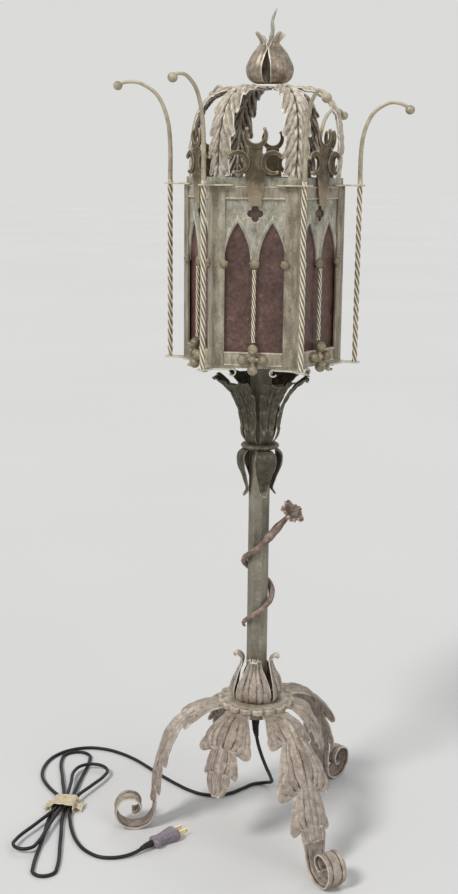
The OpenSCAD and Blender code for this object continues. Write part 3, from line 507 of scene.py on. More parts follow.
RUN = [[0, 0, 156], [0, 0, 142], [2, 5, 122], [6, 20, 94], [11, 44, 62], [15, 72, 32], [13, 96, 12],
       [2, 108, 4], [-14, 104, 2.5], [-28, 88, 2.5], [-44, 70, 2.5], [-64, 60, 2.5], [-86, 60, 2.5],
       [-108, 70, 2.5], [-130, 86, 2.5], [-154, 106, 2.5], [-180, 130, 2.5], [-206, 153, 2.5],
       [-232, 170, 2.5], [-260, 181, 2.5], [-288, 182, 2.5], [-314, 170, 2.5], [-334, 144, 2.5],
       [-340, 110, 2.5], [-334, 76, 2.5], [-318, 48, 3], [-303, 30, 3], [-293, 18, 4]]
LEAD = [[-261, -36, 4], [-257, -48, 3], [-248, -72, 2.5], [-235, -98, 2.5], [-216, -122, 2.5],
        [-190, -136, 2.5], [-164, -132, 3], [-145, -119, 5], [-135, -108, 8], [-128, -99, 8]]
PLUG_AT, PLUG_TURN = LEAD[-1], 52
HANK_AT = (-280, -10)
HANK_LIFT = 1.5
LANE = CORD_D + 1
# The hank's loops: direction in degrees, reach, radius, way round, layer, lane out and lane back at the tie
LOOPS = [[-82, 186, 16, 1, 0, -1.5, 1.5], [97, 176, 22, 1, 0, 1.5, -0.5],
         [-99, 134, 16, 1, 1, -0.5, 0.5], [80, 128, 25, -1, 1, 0.5, 3]]
LOOP_POINTS = 8


def loop_arc(turn, reach, r, way, layer, *_):
    z = CORD_D / 2 + layer * (CORD_D + 0.8)
    x = HANK_AT[0] + (reach - r) * cosd(turn)
    y = HANK_AT[1] + (reach - r) * sind(turn)
    turns = [math.radians(turn + way * (-100 + 200 * k / (LOOP_POINTS - 1))) for k in range(LOOP_POINTS)]
    return [[x + r * math.cos(a), y + r * math.sin(a), z] for a in turns]


def waist(lane, come, layer_in, layer_out):
    """Two points where the cord passes under the tie."""
    return [[HANK_AT[0] + lane * LANE, HANK_AT[1] + s * 18,
             CORD_D / 2 + HANK_LIFT + (layer_in if s == come else layer_out) * (CORD_D + 0.5)]
            for s in (come, -come)]


def midway(a, b):
    return [(p + q) / 2 for p, q in zip(a, b)]


passes = [waist(LOOPS[0][5], 1, 0, 0), waist(LOOPS[0][6], -1, 0, 0), waist(LOOPS[1][6], 1, 0, 1),
          waist(LOOPS[2][6], -1, 1, 1), waist(LOOPS[3][6], 1, 1, 0)]
route = list(RUN)
for i, loop in enumerate(LOOPS):
    arc = loop_arc(*loop)
    route += passes[i] + [midway(passes[i][1], arc[0])] + arc + [midway(arc[-1], passes[i + 1][0])]
route += passes[len(LOOPS)] + LEAD
route = np.array(route, float)


def rope(points):
    """A curve of one open spline through points, and its length in mm."""
    seg = np.linalg.norm(np.diff(points, axis=0), axis=1)
    way = np.diff(points, axis=0) / seg[:, None]
    t = np.vstack([way[0], unit(way[:-1] * seg[1:, None] + way[1:] * seg[:-1, None]), way[-1]])
    curve = bpy.data.curves.new("cord", "CURVE")
    curve.dimensions = "3D"
    curve.bevel_depth, curve.bevel_resolution, curve.resolution_u = CORD_D / 2 * MM, 4, 10
    curve.use_fill_caps = True
    s = curve.splines.new("BEZIER")
    s.bezier_points.add(len(points) - 1)
    right = points + t * np.append(seg, seg[-1])[:, None] / 3
    left = points - t * np.insert(seg, 0, seg[0])[:, None] / 3
    for b, p, l, r in zip(s.bezier_points, points, left, right):
        b.handle_left_type = b.handle_right_type = "FREE"
        b.co, b.handle_left, b.handle_right = p * MM, l * MM, r * MM
    u = np.linspace(0, 1, 41)[:, None]
    length = 0
    for i in range(len(points) - 1):
        q = ((1 - u) ** 3 * points[i] + 3 * (1 - u) ** 2 * u * right[i] + 3 * (1 - u) * u * u * left[i + 1]
             + u ** 3 * points[i + 1])
        length += np.linalg.norm(np.diff(q, axis=0), axis=1).sum()
    return curve, length


cord_curve, cord_length = rope(route)
cord = placed("mains_cord", cord_curve)
cord_curve.materials.append(RUBBER)
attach(cord, "lamp")
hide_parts("cord_run", "cord_hank", "cord_lead")


def relief(name, points, sizes):
    """A tapered, ribbed sleeve on the cord."""
    line = Line(points)
    s = np.linspace(0, line.length, 49)
    r = np.interp(s, [0, line.length], sizes) * (1 + 0.07 * np.sign(np.sin(s * 2.2)) * (s < line.length * 0.9))
    return put(name, [sweep(line.at(s), rounded(20), r)], RUBBER)


exit_relief = relief("cord_exit_relief", [[0, 0, 157], [0, 0, 142], [1.4, 3, 129]], (5.6, 3.1))
plug_way = unit([cosd(PLUG_TURN), sind(PLUG_TURN), 0])
plug_relief = relief("plug_relief", [PLUG_AT + plug_way, LEAD[-1], LEAD[-2], midway(LEAD[-2], LEAD[-3])],
                     (4.8, 3.1))


def plug_shell():
    x = np.array([0, 1, 3, 4.5, 7, 8.5, 11, 14, 18, 22, 26, 30, 34, 38, 40.5, 41.6, 42])
    half = np.array([4.6, 6.6, 9.6, 10.4, 10.4, 9.4, 8.2, 8.0, 8.2, 8.8, 9.8, 10.8, 11.7, 12.3, 12.3, 12, 11.3])
    tall = np.array([4.4, 5.2, 5.8, 6.2, 6.4, 6.5, 6.4, 6.4, 6.6, 6.8, 7.0, 7.3, 7.6, 7.9, 7.9, 7.6, 7.0])
    xs = np.linspace(0, 42, 85)
    rib = np.where((xs > 15) & (xs < 30), 0.45 * np.cos((xs - 15) * 2 * np.pi / 2.5), 0)
    rings = []
    for s, across, up in zip(xs, np.interp(xs, x, half) + rib, np.interp(xs, x, tall)):
        out = rounded(36, 3.2, across, up)
        rings.append(pts(np.full(36, s), out[:, 0], out[:, 1]))
    return moved(loft(np.array(rings)), PLUG_TURN, PLUG_AT)


plug = put("plug", [plug_shell()], PLUG, ["plug_body"])


def paper_band():
    """A crumpled paper strip round the strands, with its twisted ends standing out at either side."""
    lo, hi = LOOPS[0][5] * LANE, LOOPS[3][6] * LANE
    w, h = hi - lo + CORD_D + 2.8, 2 * CORD_D + HANK_LIFT + 3
    mid = HANK_AT[0] + (lo + hi) / 2
    n, rows = 72, 31
    a = around(n)
    flat = rounded(n, 4.5, w / 2, h / 2)
    rings = []
    for side in (1, -1):
        for i in range(rows):
            y = (i / (rows - 1) * 2 - 1) * 15 * side
            crease = (0.55 * np.sin(5 * a + 0.5 * y) + 0.45 * np.sin(9 * a - 0.9 * y + 1.3)
                      + 0.35 * np.sin(2 * a + 0.31 * y + 2))
            nip = 1 - 0.03 * np.cos(y / 15 * np.pi)
            in_by = 0 if side > 0 else 0.9
            out = flat * (1 + (crease - 0.9 - in_by)[:, None] / (w / 2)) * nip
            edge = 0.7 * np.sin(7 * a + 1) * (abs(y) / 15) ** 3 * np.sign(y)
            z = np.clip(out[:, 1] + h / 2, 0.15 + in_by, None)
            rings.append(pts(mid + out[:, 0], HANK_AT[1] + y + edge, z))
    parts = [loft(np.array(rings), closed=True)]
    for side in (-1, 1):
        v = np.linspace(-1, 1, 25)[None, :] * np.ones((17, 1))
        u = np.linspace(0, 1, 17)[:, None] * np.ones((1, 25))
        x = mid + side * (w / 2 - 2.4 + 12.4 * u)
        y = HANK_AT[1] + v * (5 + 9 * u) + 2 * u * side
        z = h * 0.42 + 1.5 * np.sin(5 * v + 2 * u) * u + 1.0 * np.sin(11 * v + side) * u - 1.5 * u * u
        parts.append(skin(pts(x, y, z), v, 0.7))
    return parts


tie = put("paper_tie", paper_band(), PAPER, ["cord_tie"], sharp=25)


# ---- Leaves ----

FULL_LINES = 34  # A leaf's chased lines are at full depth where it is this wide on a side


def lobed(s, table, lobes):
    """Edge distances to either side, how far the edge trails, and the vein pattern, along a leaf.

    A lobe is (start, end, notch before, left tip, right tip, notch after)."""
    left = read(table, s)
    right, trail, vein, bulge = left.copy(), 0 * s, 0 * s, 0 * s
    for s0, s1, n0, tip_l, tip_r, n1 in lobes:
        m = (s >= s0) & (s <= s1)
        t = (s[m] - s0) / (s1 - s0)
        k = np.where(t < 0.62, np.sin(np.clip(t / 0.62, 0, 1) * np.pi / 2) ** 0.85,
                     np.cos(np.clip((t - 0.62) / 0.38, 0, 1) * np.pi / 2) ** 0.6)
        base = n0 + (n1 - n0) * t
        nick = 1 + 0.10 * (np.abs(np.sin(2.5 * np.pi * t)) ** 0.5 - 0.8) * k
        left[m], right[m] = base + (tip_l * nick - base) * k, base + (tip_r * nick - base) * k
        trail[m] = (s1 - s0) * 0.42 * k
        vein[m] = -np.cos(2 * np.pi * np.where(t < 0.62, t / 1.24, 0.5 + (t - 0.62) / 0.76))
        bulge[m] = k
    return left, right, trail, vein, bulge


def leaf(line, table, lobes=(), span=None, cols=41, step=1.5, thick=1.6, edge=0.5, flutes=3.0, flute=0.7,
         vein=1.0, groove=1.4, crown=2.0, curl=3.0, flick=1.5, roll=0.0, side=1, wrap=False, hold=(0, 8),
         rays=None, lines=()):
    """A hammered leaf along line, which holds (distance from the axis, height) points.

    side is 1 where the outer face is to the left of the way the line runs. With wrap the leaf
    follows the axis round, and its widths are degrees. hold is where its relief fades in. rays are
    veins that run out from the midrib: (pitch along it, how steeply they trail, depth). lines are
    chased grooves that keep their share of the width, so they fan out into the lobes."""
    lo, hi = span or (0, line.length)
    s = np.linspace(lo, hi, max(8, int((hi - lo) / step)))
    left, right, trail, veins, bulge = lobed(s, table, lobes)
    w = np.linspace(-1, 1, cols)
    w = np.sign(w) * np.abs(w) ** 0.9
    a = np.abs(w)[None, :]
    half = np.where(w[None, :] > 0, left[:, None], right[:, None])
    at = s[:, None] + trail[:, None] * a ** 2.4
    c, t = line.at(at), line.along(at)
    n = pts(-t[..., 1], t[..., 0]) * side
    y = w[None, :] * half
    y_mm = y * np.pi / 180 * c[..., 0] if wrap else y
    on = ease(s, *hold)[:, None]
    o = crown * (1 - a * a) * on
    o += vein * veins[:, None] * ease(a, 0.12, 0.6) * (1 - 0.5 * a ** 4) * on
    o += flute * np.cos(2 * np.pi * flutes * a) * (1 - a ** 6) * on
    o += groove * (0.5 * np.exp(-((np.abs(y_mm) - 3.6) / 1.6) ** 2) - np.exp(-(y_mm / 1.5) ** 2)) * on
    o = o - curl * a ** 3 * bulge[:, None] * on + flick * ease(a, 0.78, 1) * bulge[:, None] * on
    o += roll * ease(a, 0.72, 1) * on
    for share, deep in lines:
        line_at = share + 0.03 * np.sin(0.05 * at + 9 * share)
        o -= deep * np.clip(half / FULL_LINES, 0, 1) ** 2 * np.exp(-((a - line_at) / 0.055) ** 2) * on
    if rays:
        pitch, trailing, deep = rays
        ridge = np.abs(np.sin(np.pi * (at - trailing * np.abs(y_mm)) / pitch)) ** 0.6
        o += deep * (ridge - 0.62) * ease(a, 0.03, 0.22) * (1 - 0.6 * a ** 8) * on
    o += 0.22 * (np.sin(0.31 * at + 4.2 * w) + np.sin(0.173 * at - 3.1 * w + 2)) * on
    r, z = c[..., 0] + n[..., 0] * o, c[..., 1] + n[..., 1] * o
    g = polar(r, np.radians(y), z) if wrap else pts(r, y, z)
    return skin(g, w[None, :], thick, edge)


def profile(points, up, tall=1):
    """A leaf's line from (out, up) points."""
    return Line(smooth([[r, up + z * tall] for r, z in points], 2), 6)


def scaled(rows, size, n=1):
    """Rows of a leaf's table with their first n numbers times size."""
    return [[v * size if i < n else v for i, v in enumerate(row)] for row in rows]


def petals(name, points, up, rows, turns, material, node, wear_and_light=2.2, tall=1, shift=0, **look):
    """Petals that follow the axis round: rows are (share of the length, half width in degrees)."""
    line = profile(points, up, tall)
    table = [[-3, rows[0][1]]] + scaled(rows, line.length)
    petal = leaf(line, table, wrap=True, vein=0, curl=0, flick=0, step=1.1, **look)
    put(name, [moved(petal, a, (shift, 0, 0)) for a in turns], material, [node], wear_and_light=wear_and_light)


# ---- Base ----

BEND_R, HEEL_R, SCROLL_R, HEEL_GAP, LEG_T, STEP = 54, 28, 24, 30, 4, 20
SIDE_TOP = [[24, 0], [40, 0], [53, 0], [58, -0.6], [72, -4], [86, -10], [100, -18], [113, -31],
            [124, -48], [131, -67], [137, -88], [141, -112], [143, -134]]
FRONT_TOP = [[24, 0], [40, 0], [53, 0], [60, -0.6], [76, -3], [91, -9], [107, -24], [122, -42],
             [134, -67], [142, -88], [149, -108], [155, -126], [159, -137]]


def chord(i):
    """One of the short straight steps that a foot is rolled from."""
    r = HEEL_R if i < 2 else SCROLL_R * (1.16 - 0.048 * i)
    a = math.radians(STEP * i)
    return 2 * r * sind(STEP / 2) * np.array([math.cos(a), math.sin(a)])


def leg_line(reach, top):
    """A leg's line, stretched to its reach, then round its heel and up into the scroll."""
    last = top[-1][0]
    flat = np.array([reach - chord(0)[0] / 2, LEG_T / 2 * cosd(STEP / 2)])
    q = flat - sum(chord(i) for i in range(-4, 0))
    scroll = [q]
    for i in range(-4, 20):
        q = q + chord(i)
        scroll.append(q)
    bent = [[r if r < BEND_R else BEND_R + (r - BEND_R) * (reach - HEEL_GAP - BEND_R) / (last - BEND_R),
             SEAT_Z + z] for r, z in top]
    return Line(np.vstack([smooth(bent, 2), scroll]), 6)


LEG_HALF = [[-5, 12], [0, 12], [14, 14], [30, 19], [36, 20], [195, 18.5], [205, 18.5], [216, 16.5],
            [235, 14.5], [260, 13.8], [420, 13.5]]
FRONT_LOBES = [(36, 81, 20, 27, 37, 17.5), (81, 147, 17.5, 37, 42, 17), (147, 196, 17, 26, 31, 18.5)]
SIDE_LOBES = [(36, 80, 20, 31, 32, 17.5), (80, 140, 17.5, 36, 38, 17), (140, 188, 17, 28, 29, 18.5)]
LEG_LOOK = dict(thick=LEG_T * 0.85, edge=0.55, flutes=1.3, flute=0.9, vein=1.2, groove=3.0, crown=4.0,
                curl=7.0, flick=3.2, step=1.3, cols=61, hold=(34, 60),
                lines=((0.34, 1.5), (0.56, 1.3), (0.77, 0.9)))
for node, turn, reach, top, lobes in (("leg_left", 194, 170, SIDE_TOP, SIDE_LOBES),
                                      ("leg_front", 307, 188, FRONT_TOP, FRONT_LOBES),
                                      ("leg_rear", 58, 186, SIDE_TOP, SIDE_LOBES)):
    line = leg_line(reach, top)
    upper = leaf(line, LEG_HALF, lobes, span=(0, 214), **LEG_LOOK)
    # Below the leaf the strap is plain, lightly fluted and rolled up into the foot
    lower = leaf(line, LEG_HALF, span=(208, line.length), thick=LEG_T * 0.8, edge=0.6, flutes=2, flute=0.7,
                 vein=0, groove=1.1, crown=0.8, curl=0, flick=0, step=1.6, cols=25, hold=(206, 224))
    put(node + "_strap", [moved(upper, turn), moved(lower, turn)], LEAF, [node], wear_and_light=2.9)

SHORT = {"short_leaf_front": (248, 106, 98), "short_leaf_right": (4, 92, 66), "short_leaf_rear": (128, 96, 80)}
SHORT_LOOK = LEG_LOOK | dict(thick=LEG_T * 0.8, edge=0.5, vein=1.1, groove=2.8, crown=3.5, curl=5.5, flick=2.8,
                             step=1.2, cols=57, hold=(28, 46), lines=((0.34, 1.4), (0.56, 1.2), (0.78, 0.9)))
for node, (turn, reach, drop) in SHORT.items():
    line = Line(smooth([[24, SEAT_Z], [42, SEAT_Z], [46, SEAT_Z - 0.3], [BEND_R, SEAT_Z - 2]]
                       + [[BEND_R + (reach - BEND_R) * out, SEAT_Z - drop * down]
                          for out, down in ((0.45, 0.22), (0.78, 0.56))] + [[reach, SEAT_Z - drop]], 3), 6)
    size = line.length / 143.4
    table = [[-5, 11], [0, 11]] + scaled([[22, 12], [30, 19], [108, 18], [126, 17], [137, 12], [143, 5]], size)
    lobes = scaled([[30, 80, 18, 40, 38, 19], [80, 112, 19, 27, 24, 18]], size, 2)
    put(node + "_blade", [moved(leaf(line, table, lobes, **SHORT_LOOK), turn)], LEAF, [node], wear_and_light=2.9)


def scalloped_ring():
    """The beaded ring: eighteen lobes with a raised bead along their edge and a groove inside it."""
    n = 432
    a = around(n)
    lobe = np.abs(np.cos(9 * a)) ** 0.55
    rim = 53.6 - 5.6 * (1 - lobe)
    outline = [(0, -6), (-0.2, -5.4), (0.1, -3.2), (-0.2, -0.9), (-0.9, -0.15), (-2.0, 0.35), (-3.4, 0.3),
               (-4.6, -0.1), (-5.6, -0.7), (-7.0, -0.9), (-8.4, -0.5), (-9.6, 0), (-14, 0.1), (-24, 0.1)]
    rings = [polar(5.3, a, 0 * a - 6)]
    for d, z in outline:
        fade = max(0, 1 + d / 20)
        r = (53.4 + d) * (1 - fade) + (rim + d) * fade
        swell = 0.8 * (lobe - 0.5) * (fade if z > -4 else 0)
        rings.append(polar(r, a, z + swell))
    rings.append(polar(5.3, a, 0 * a))
    return moved(loft(np.array(rings), closed=True), by=(0, 0, STEM_Z))


put("scalloped_ring", [scalloped_ring()], STRAP, ["base_ring"])

petals("base_calyx_petals", [[16.5, 1], [28, 2], [33.5, 8], [34, 17], [29, 31], [22, 44], [19, 54], [21, 60],
                             [28, 64], [32, 60]],
       STEM_Z, [[0, 38], [0.3, 41], [0.5, 38], [0.75, 27], [0.9, 22], [1, 9]], (269, 359, 89, 179), LEAF,
       "base_calyx", side=-1, thick=1.6, flutes=2.5, flute=1.1, groove=1.4, crown=1.0, roll=2.4, cols=57,
       hold=(2, 18))


# ---- Stem ----

def octagon_pipe():
    """The stem: an octagonal pipe with its long edges softly rounded by hand."""
    corner = np.radians(22.5 + 45 * np.arange(8))
    loop = []
    for a in corner:
        for d in (-6.5, -2.2, 0, 2.2, 6.5):
            r = STEM_R * {6.5: 0.955, 2.2: 0.985, 0: 0.992}[abs(d)]
            if abs(d) == 6.5:
                r = STEM_R * cosd(22.5) / cosd(22.5 - 6.5)
            b = a + math.radians(d)
            loop.append([r * math.cos(b), r * math.sin(b)])
    loop = np.array(loop)
    z = np.linspace(STEM_Z, FLOOR_Z, 200)
    rings = []
    for h in z:
        dent = 1 + 0.006 * np.sin(h * 0.21 + 3 * np.arange(40)) * np.sin(h * 0.053 + 1)
        rings.append(np.hstack([loop * dent[:, None], np.full((40, 1), h)]))
    inner = circle(10.5, 40, start=corner[0] - math.radians(6.5))
    for h in (FLOOR_Z, STEM_Z):
        rings.append(np.hstack([inner, np.full((40, 1), h)]))
    return loft(np.array(rings), closed=True)


put("octagonal_stem", [octagon_pipe()], STEM, ["stem_pipe"], wear_and_light=1.6)

VINE_D = 9
VINE_R = STEM_R + VINE_D / 2 + 0.2
VINE_FROM, VINE_TO, VINE_Z, VINE_PITCH = 160, 647, 290, 91  # Degrees round the stem, and mm
VINE_END = np.array([42, -22, 458.0])
TILT = (25, 38)  # The blossom is tipped by these, in degrees, and faces along BLOOM
BLOOM = np.array([sind(TILT[1]) * cosd(TILT[0]), -sind(TILT[0]), cosd(TILT[1]) * cosd(TILT[0])])


def vine_points():
    turns = np.arange(VINE_FROM, VINE_TO, 18)
    wound = polar(VINE_R, np.radians(turns), VINE_Z + (turns - VINE_FROM) / 360 * VINE_PITCH)
    last = wound[-1]
    return np.vstack([wound, last + [7, -4, 9], last + [15, -2, 19],
                      VINE_END - 9 * BLOOM, VINE_END - 3.2 * BLOOM])


line = Line(vine_points(), 6)
s = np.linspace(0, line.length, 260)
u = s / line.length
a = around(28)
ribbed = polar(1, a) * (1 - 0.10 * (0.5 - 0.5 * np.cos(5 * a)))[:, None]
size = VINE_D / 2 * read([[-0.1, 0.35], [0, 0.35], [0.12, 0.8], [0.4, 1], [0.74, 1], [0.86, 1.3], [0.94, 1.15],
                          [1, 0.7], [1.1, 0.6]], u)
size = size * (1 + 0.05 * np.sin(s * 0.37) + 0.04 * np.sin(s * 0.13 + 2))
vine = sweep(line.at(s), ribbed, size, (0, 0, 1), 520)


def blossom():
    """Five ragged petals that open into a curled rim."""
    petals, rows, n = 5, 26, 180
    b = around(n)
    t = np.linspace(0, 1, rows)
    lap = np.abs(np.cos(petals * b / 2)) ** 0.5
    rim = read([[-0.1, 2.2], [0, 2.4], [0.15, 4.6], [0.35, 7.6], [0.6, 11.2], [0.85, 15.6], [1, 18.2],
                [1.1, 19]], t)
    high = read([[-0.1, -3], [0, -2.8], [0.15, 0.5], [0.35, 4.6], [0.6, 8.8], [0.85, 11.4], [1, 11.2],
                 [1.1, 11]], t)
    cut = ease(t, 0.35, 1)[:, None]
    r = rim[:, None] * (1 - 0.34 * cut * (1 - lap)) + 0.7 * cut * np.sin(23 * b + 2 * t[:, None])
    z = high[:, None] + cut * (2.6 * np.sin(11 * b + 0.6) * 0.45 + 1.4 * (lap - 0.6) * 2
                               - 2.2 * ease(t, 0.8, 1)[:, None] * lap)
    v, f = loft(np.concatenate([polar(r, b, z), polar(r - 0.9 + 0.3 * cut, b, z + 1.2)[::-1]]))
    x, y, z = v.T
    y, z = rotated(y, z, TILT[0])
    z, x = rotated(z, x, TILT[1])
    return pts(x, y, z) + VINE_END, f


put("vine_twig", [vine], VINE, ["stem_vine"])
put("blossom", [blossom()], VINE, ["vine_blossom"])

ring = [[STEM_R + 0.2, 0.2], [19, 0], [21.5, 0], [23.5, 0.7], [25, 2], [25.5, 3.5], [25, 5], [23.5, 6.3],
        [21.5, 7], [20, 6.6], [18.6, 6.9], [17, 7], [STEM_R + 0.2, 7]]
put("collar", [lathe([[r, z + COLLAR_Z] for r, z in ring], 96)], SHADED_IRON, ["neck_collar"], wear_and_light=3)
petals("upper_calyx_petals", [[16.5, -1], [23, -2], [28, -8], [29, -16], [26.5, -27], [21, -40], [17.2, -51],
                              [17, -58], [22, -65]],
       COLLAR_Z, [[0, 26], [0.3, 30], [0.5, 28], [0.8, 20], [0.93, 14], [1, 5]], (294, 24, 114, 204), SHADED_IRON,
       "upper_calyx", thick=1.5, flutes=2, flute=0.3, groove=0.7, crown=1.2, roll=1.0, cols=41, hold=(2, 16))

line = profile([[17, 1], [22, 10], [24, 27], [27, 45], [34, 62], [44, 76], [54, 85], [60, 88], [63, 84]],
               COLLAR_Z + COLLAR_T)
table = [[-3, 8]] + scaled([[0, 8], [0.15, 9], [0.4, 10], [0.7, 13], [0.95, 11], [1, 6]], line.length)
lobes = scaled([[0.20, 0.42, 9, 12, 12, 9.5], [0.42, 0.66, 9.5, 16.5, 16.5, 11.5],
                [0.66, 0.93, 11.5, 22, 22, 11]],
               line.length, 2)
capital = leaf(line, table, lobes, side=-1, flutes=1.5, flute=0.8, vein=0.6, groove=1.6, crown=1.8, curl=2.6,
               step=1.0, cols=45, hold=(0, 20), rays=(15, 3.2, 1.4))
put("capital_leaf_crown", round_all([capital], CORNERS), SHADED_IRON, ["capital_leaves"])


# ---- Lantern ----

out = [(LANTERN_R - FLANGE / 2, s * FLANGE * COS30) for s in (-1, 1)]
back = [(x - SHEET * COS30, y - s * SHEET / 2) for s, (x, y) in zip((-1, 1), out)]
post = plate([np.array([(LANTERN_R, 0), out[1], back[1], (LANTERN_R - SHEET / COS30, 0), back[0], out[0]])],
             TOP_Z - POST_Z, 0.45, 2)
put("lantern_posts", [moved(post, a, (0, 0, POST_Z)) for a in CORNERS], POST, ["corner_posts"], wear_and_light=1.5)


def rail(height, z, lip):
    """A rail between two posts: a flat strip with a raised lip along each long edge."""
    w = BETWEEN - 0.2
    box = np.array([[-w, -height], [w, -height], [w, height], [-w, height]])
    parts = [on_face(plate([box / 2], 2 * SHEET - 0.6, 0.5), FACE_R - 2 * SHEET, z + height / 2)]
    for edge in lip:
        y = np.linspace(-w / 2 + 0.4, w / 2 - 0.4, 30)
        x = np.full(30, FACE_R - 0.9)
        up = np.full(30, z + edge) + 0.15 * np.sin(y * 0.4 + edge)
        parts.append(sweep(pts(x, y, up), rounded(12), 1.15, (0, 0, 1)))
    return round_all(parts, FACES)


put("upper_rails", rail(RAIL_H, RAIL_Z, (1.2, 14.8)), POST, ["top_rail"])
put("lower_rails", rail(LOW_RAIL_H, POST_Z, (1.2, 16.3)), POST, ["bottom_rail"])

rim = plate([circle(PLATE_R / COS30, 6), circle((PLATE_R - SHEET) / COS30, 6)], RIM_H, 0.5, 2)
put("rim_strip", [moved(rim, by=(0, 0, TOP_Z))], IRON, ["top_rim"])

ARCH_W, ARCH_H, ARCH_AT = 33, 50, 21.5
ARCH_R = (ARCH_W ** 2 / 4 + ARCH_H ** 2) / ARCH_W
TRACERY_H, EYE_DOWN, FOIL_R = 80, 17, 4.3


def arch(grow=0.0, n=24):
    """A pointed arch's outline from its left springing over its point to the right, grown outward."""
    r = ARCH_R + grow
    tip = math.degrees(math.asin(math.sqrt(r * r - (ARCH_R - ARCH_W / 2) ** 2) / r))
    a = np.radians(np.linspace(0, tip, n))
    left = pts(ARCH_R - ARCH_W / 2 - r * np.cos(a), r * np.sin(a))
    return np.vstack([left, left[::-1][1:] * [-1, 1]])


def tracery():
    """Two pointed arches and a four-lobed eye, with a raised bead that follows each arch."""
    w = 2 * (PLATE_R - SHEET) * TAN30 - 0.2
    low, high = RAIL_Z - TRACERY_H - SPRING_Z, RAIL_Z - SPRING_Z
    parts, outer = [], [np.array([[-w / 2, low]])]
    for s in (-1, 1):
        x = s * ARCH_AT
        outer.append(np.vstack([[x - ARCH_W / 2, low], arch() + [x, 0], [x + ARCH_W / 2, low]]))
        bead = arch(2.4, 30) + [x, 0]
        bead = bead[(np.abs(bead[:, 0]) > 0.3) & (np.abs(bead[:, 0]) < w / 2 - 2)]
        line = pts(np.full(len(bead), PLATE_R + 0.1), bead[:, 0], SPRING_Z + bead[:, 1])
        parts.append(sweep(line, rounded(12, 2, 1.3, 2.0), 1.0))
        tip = np.linspace(0, 1, 6)[:, None] * [0, 0, 5.5] + [PLATE_R + 0.1, x, SPRING_Z + bead[:, 1].max()]
        parts.append(sweep(tip, rounded(12), np.linspace(1.3, 0.5, 6)))
    outer.append(np.array([[w / 2, low], [w / 2, high], [-w / 2, high]]))
    # The eye's four lobes stand a little out from its middle
    eye = []
    for i in range(4):
        b = math.radians(90 * i)
        a = b + np.radians(np.linspace(-122, 122, 20))
        eye.append(FOIL_R * 1.32 * np.array([math.cos(b), math.sin(b)]) + polar(FOIL_R, a))
    eye = np.vstack(eye) + [0, RAIL_Z - EYE_DOWN - SPRING_Z]
    parts.insert(0, on_face(plate([np.vstack(outer), eye], SHEET, 0.4), PLATE_R - SHEET, SPRING_Z))
    return parts


arches = tracery()
for i, turn in enumerate(FACES):
    put("arches_%d" % (i + 1), round_all(arches, [turn]), IRON, ["tracery_%d" % (i + 1)])


def pane(seed):
    """A mica sheet, slightly buckled."""
    w = 2 * (PANE_R - 1.2) * TAN30 - 1
    z, y = np.meshgrid(np.linspace(POST_Z, RAIL_Z + 8, 61), np.linspace(-w / 2, w / 2, 31), indexing="ij")
    x = (PANE_R - 0.6 + 0.18 * np.sin(z * 0.05 + seed) * np.cos(y * 0.07)
         + 0.10 * np.sin(y * 0.16 + z * 0.09 + seed))
    return skin(pts(x, y, z), np.linspace(-1, 1, 31)[None, :], 0.9, 0.9)


put("mica_sheets", [moved(pane(i), a) for i, a in enumerate(FACES)], MICA, ["mica_panes"])

low, high = CROSS_Z + CROSS_REACH + CROSS_BALL + 0.2, SPRING_Z - 6.5 - 0.2
z = np.linspace(low, high, 150)
bar = sweep(pts(0 * z + PLATE_R + 2.4, 0.15 * np.sin(z * 0.05), z), twisted_outline(24, 0.32), 2.5, spin=-900)
put("twisted_mullions", round_all([bar], FACES), ROD, ["mullions"], wear_and_light=3.2)


def rose(r, h, sides, turn=0.3):
    """A hammered rose-head stud: flat facets up to a blunt point."""
    a = around(sides) + turn
    rings = []
    for k, (d, up) in enumerate([(1.0, 0), (1.02, 0.25), (0.78, 0.66), (0.42, 0.93), (0.16, 1.0)]):
        jig = 1 + 0.05 * np.sin(a * 3 + k)
        rings.append(pts(0 * a + h * up, r * d * jig * np.cos(a), r * d * jig * np.sin(a)))
    return loft(np.array(rings))


CENTRE_STUD, SIDE_STUD = 7.0, 6.0
studs = [moved(rose(CENTRE_STUD, 5.2, 7), by=(PLATE_R, 0, SPRING_Z))]
for s in (-1, 1):
    studs.append(moved(rose(SIDE_STUD, 5.0, 6, 0.3 + s), by=(FACE_R, s * (BETWEEN / 2 + 1), SPRING_Z)))
put("rose_studs", round_all(studs, FACES), TAN, ["arch_studs"], sharp=18, wear_and_light=1.2)

cross = []
for a in (0, 90, 180, 270):
    c, s = cosd(a), sind(a)
    lobe_at = CROSS_REACH - 0.9
    cross.append(ball(CROSS_BALL - 0.7, (FACE_R + 3.6, c * lobe_at, CROSS_Z + s * lobe_at), dents=0.03))
    arm = np.array([[FACE_R + 2, 0, CROSS_Z], [FACE_R + 2, c * CROSS_REACH, CROSS_Z + s * CROSS_REACH]])
    cross.append(sweep(smooth(arm, 4), rounded(12), 2.6))
cross.append(ball(4.6, (FACE_R + 2.5, 0, CROSS_Z)))
put("four_ball_crosses", round_all(cross, FACES), TAN, ["ball_crosses"])


BRACKET_T = 2


def strip(x0, x1, w):
    """A flat strip with a round end."""
    a = np.radians(np.linspace(-90, 90, 10))
    end = [(x1 - w / 2 + w / 2 * math.cos(t), w / 2 * math.sin(t)) for t in a]
    return np.array([(x0, -w / 2)] + end + [(x0, w / 2)])


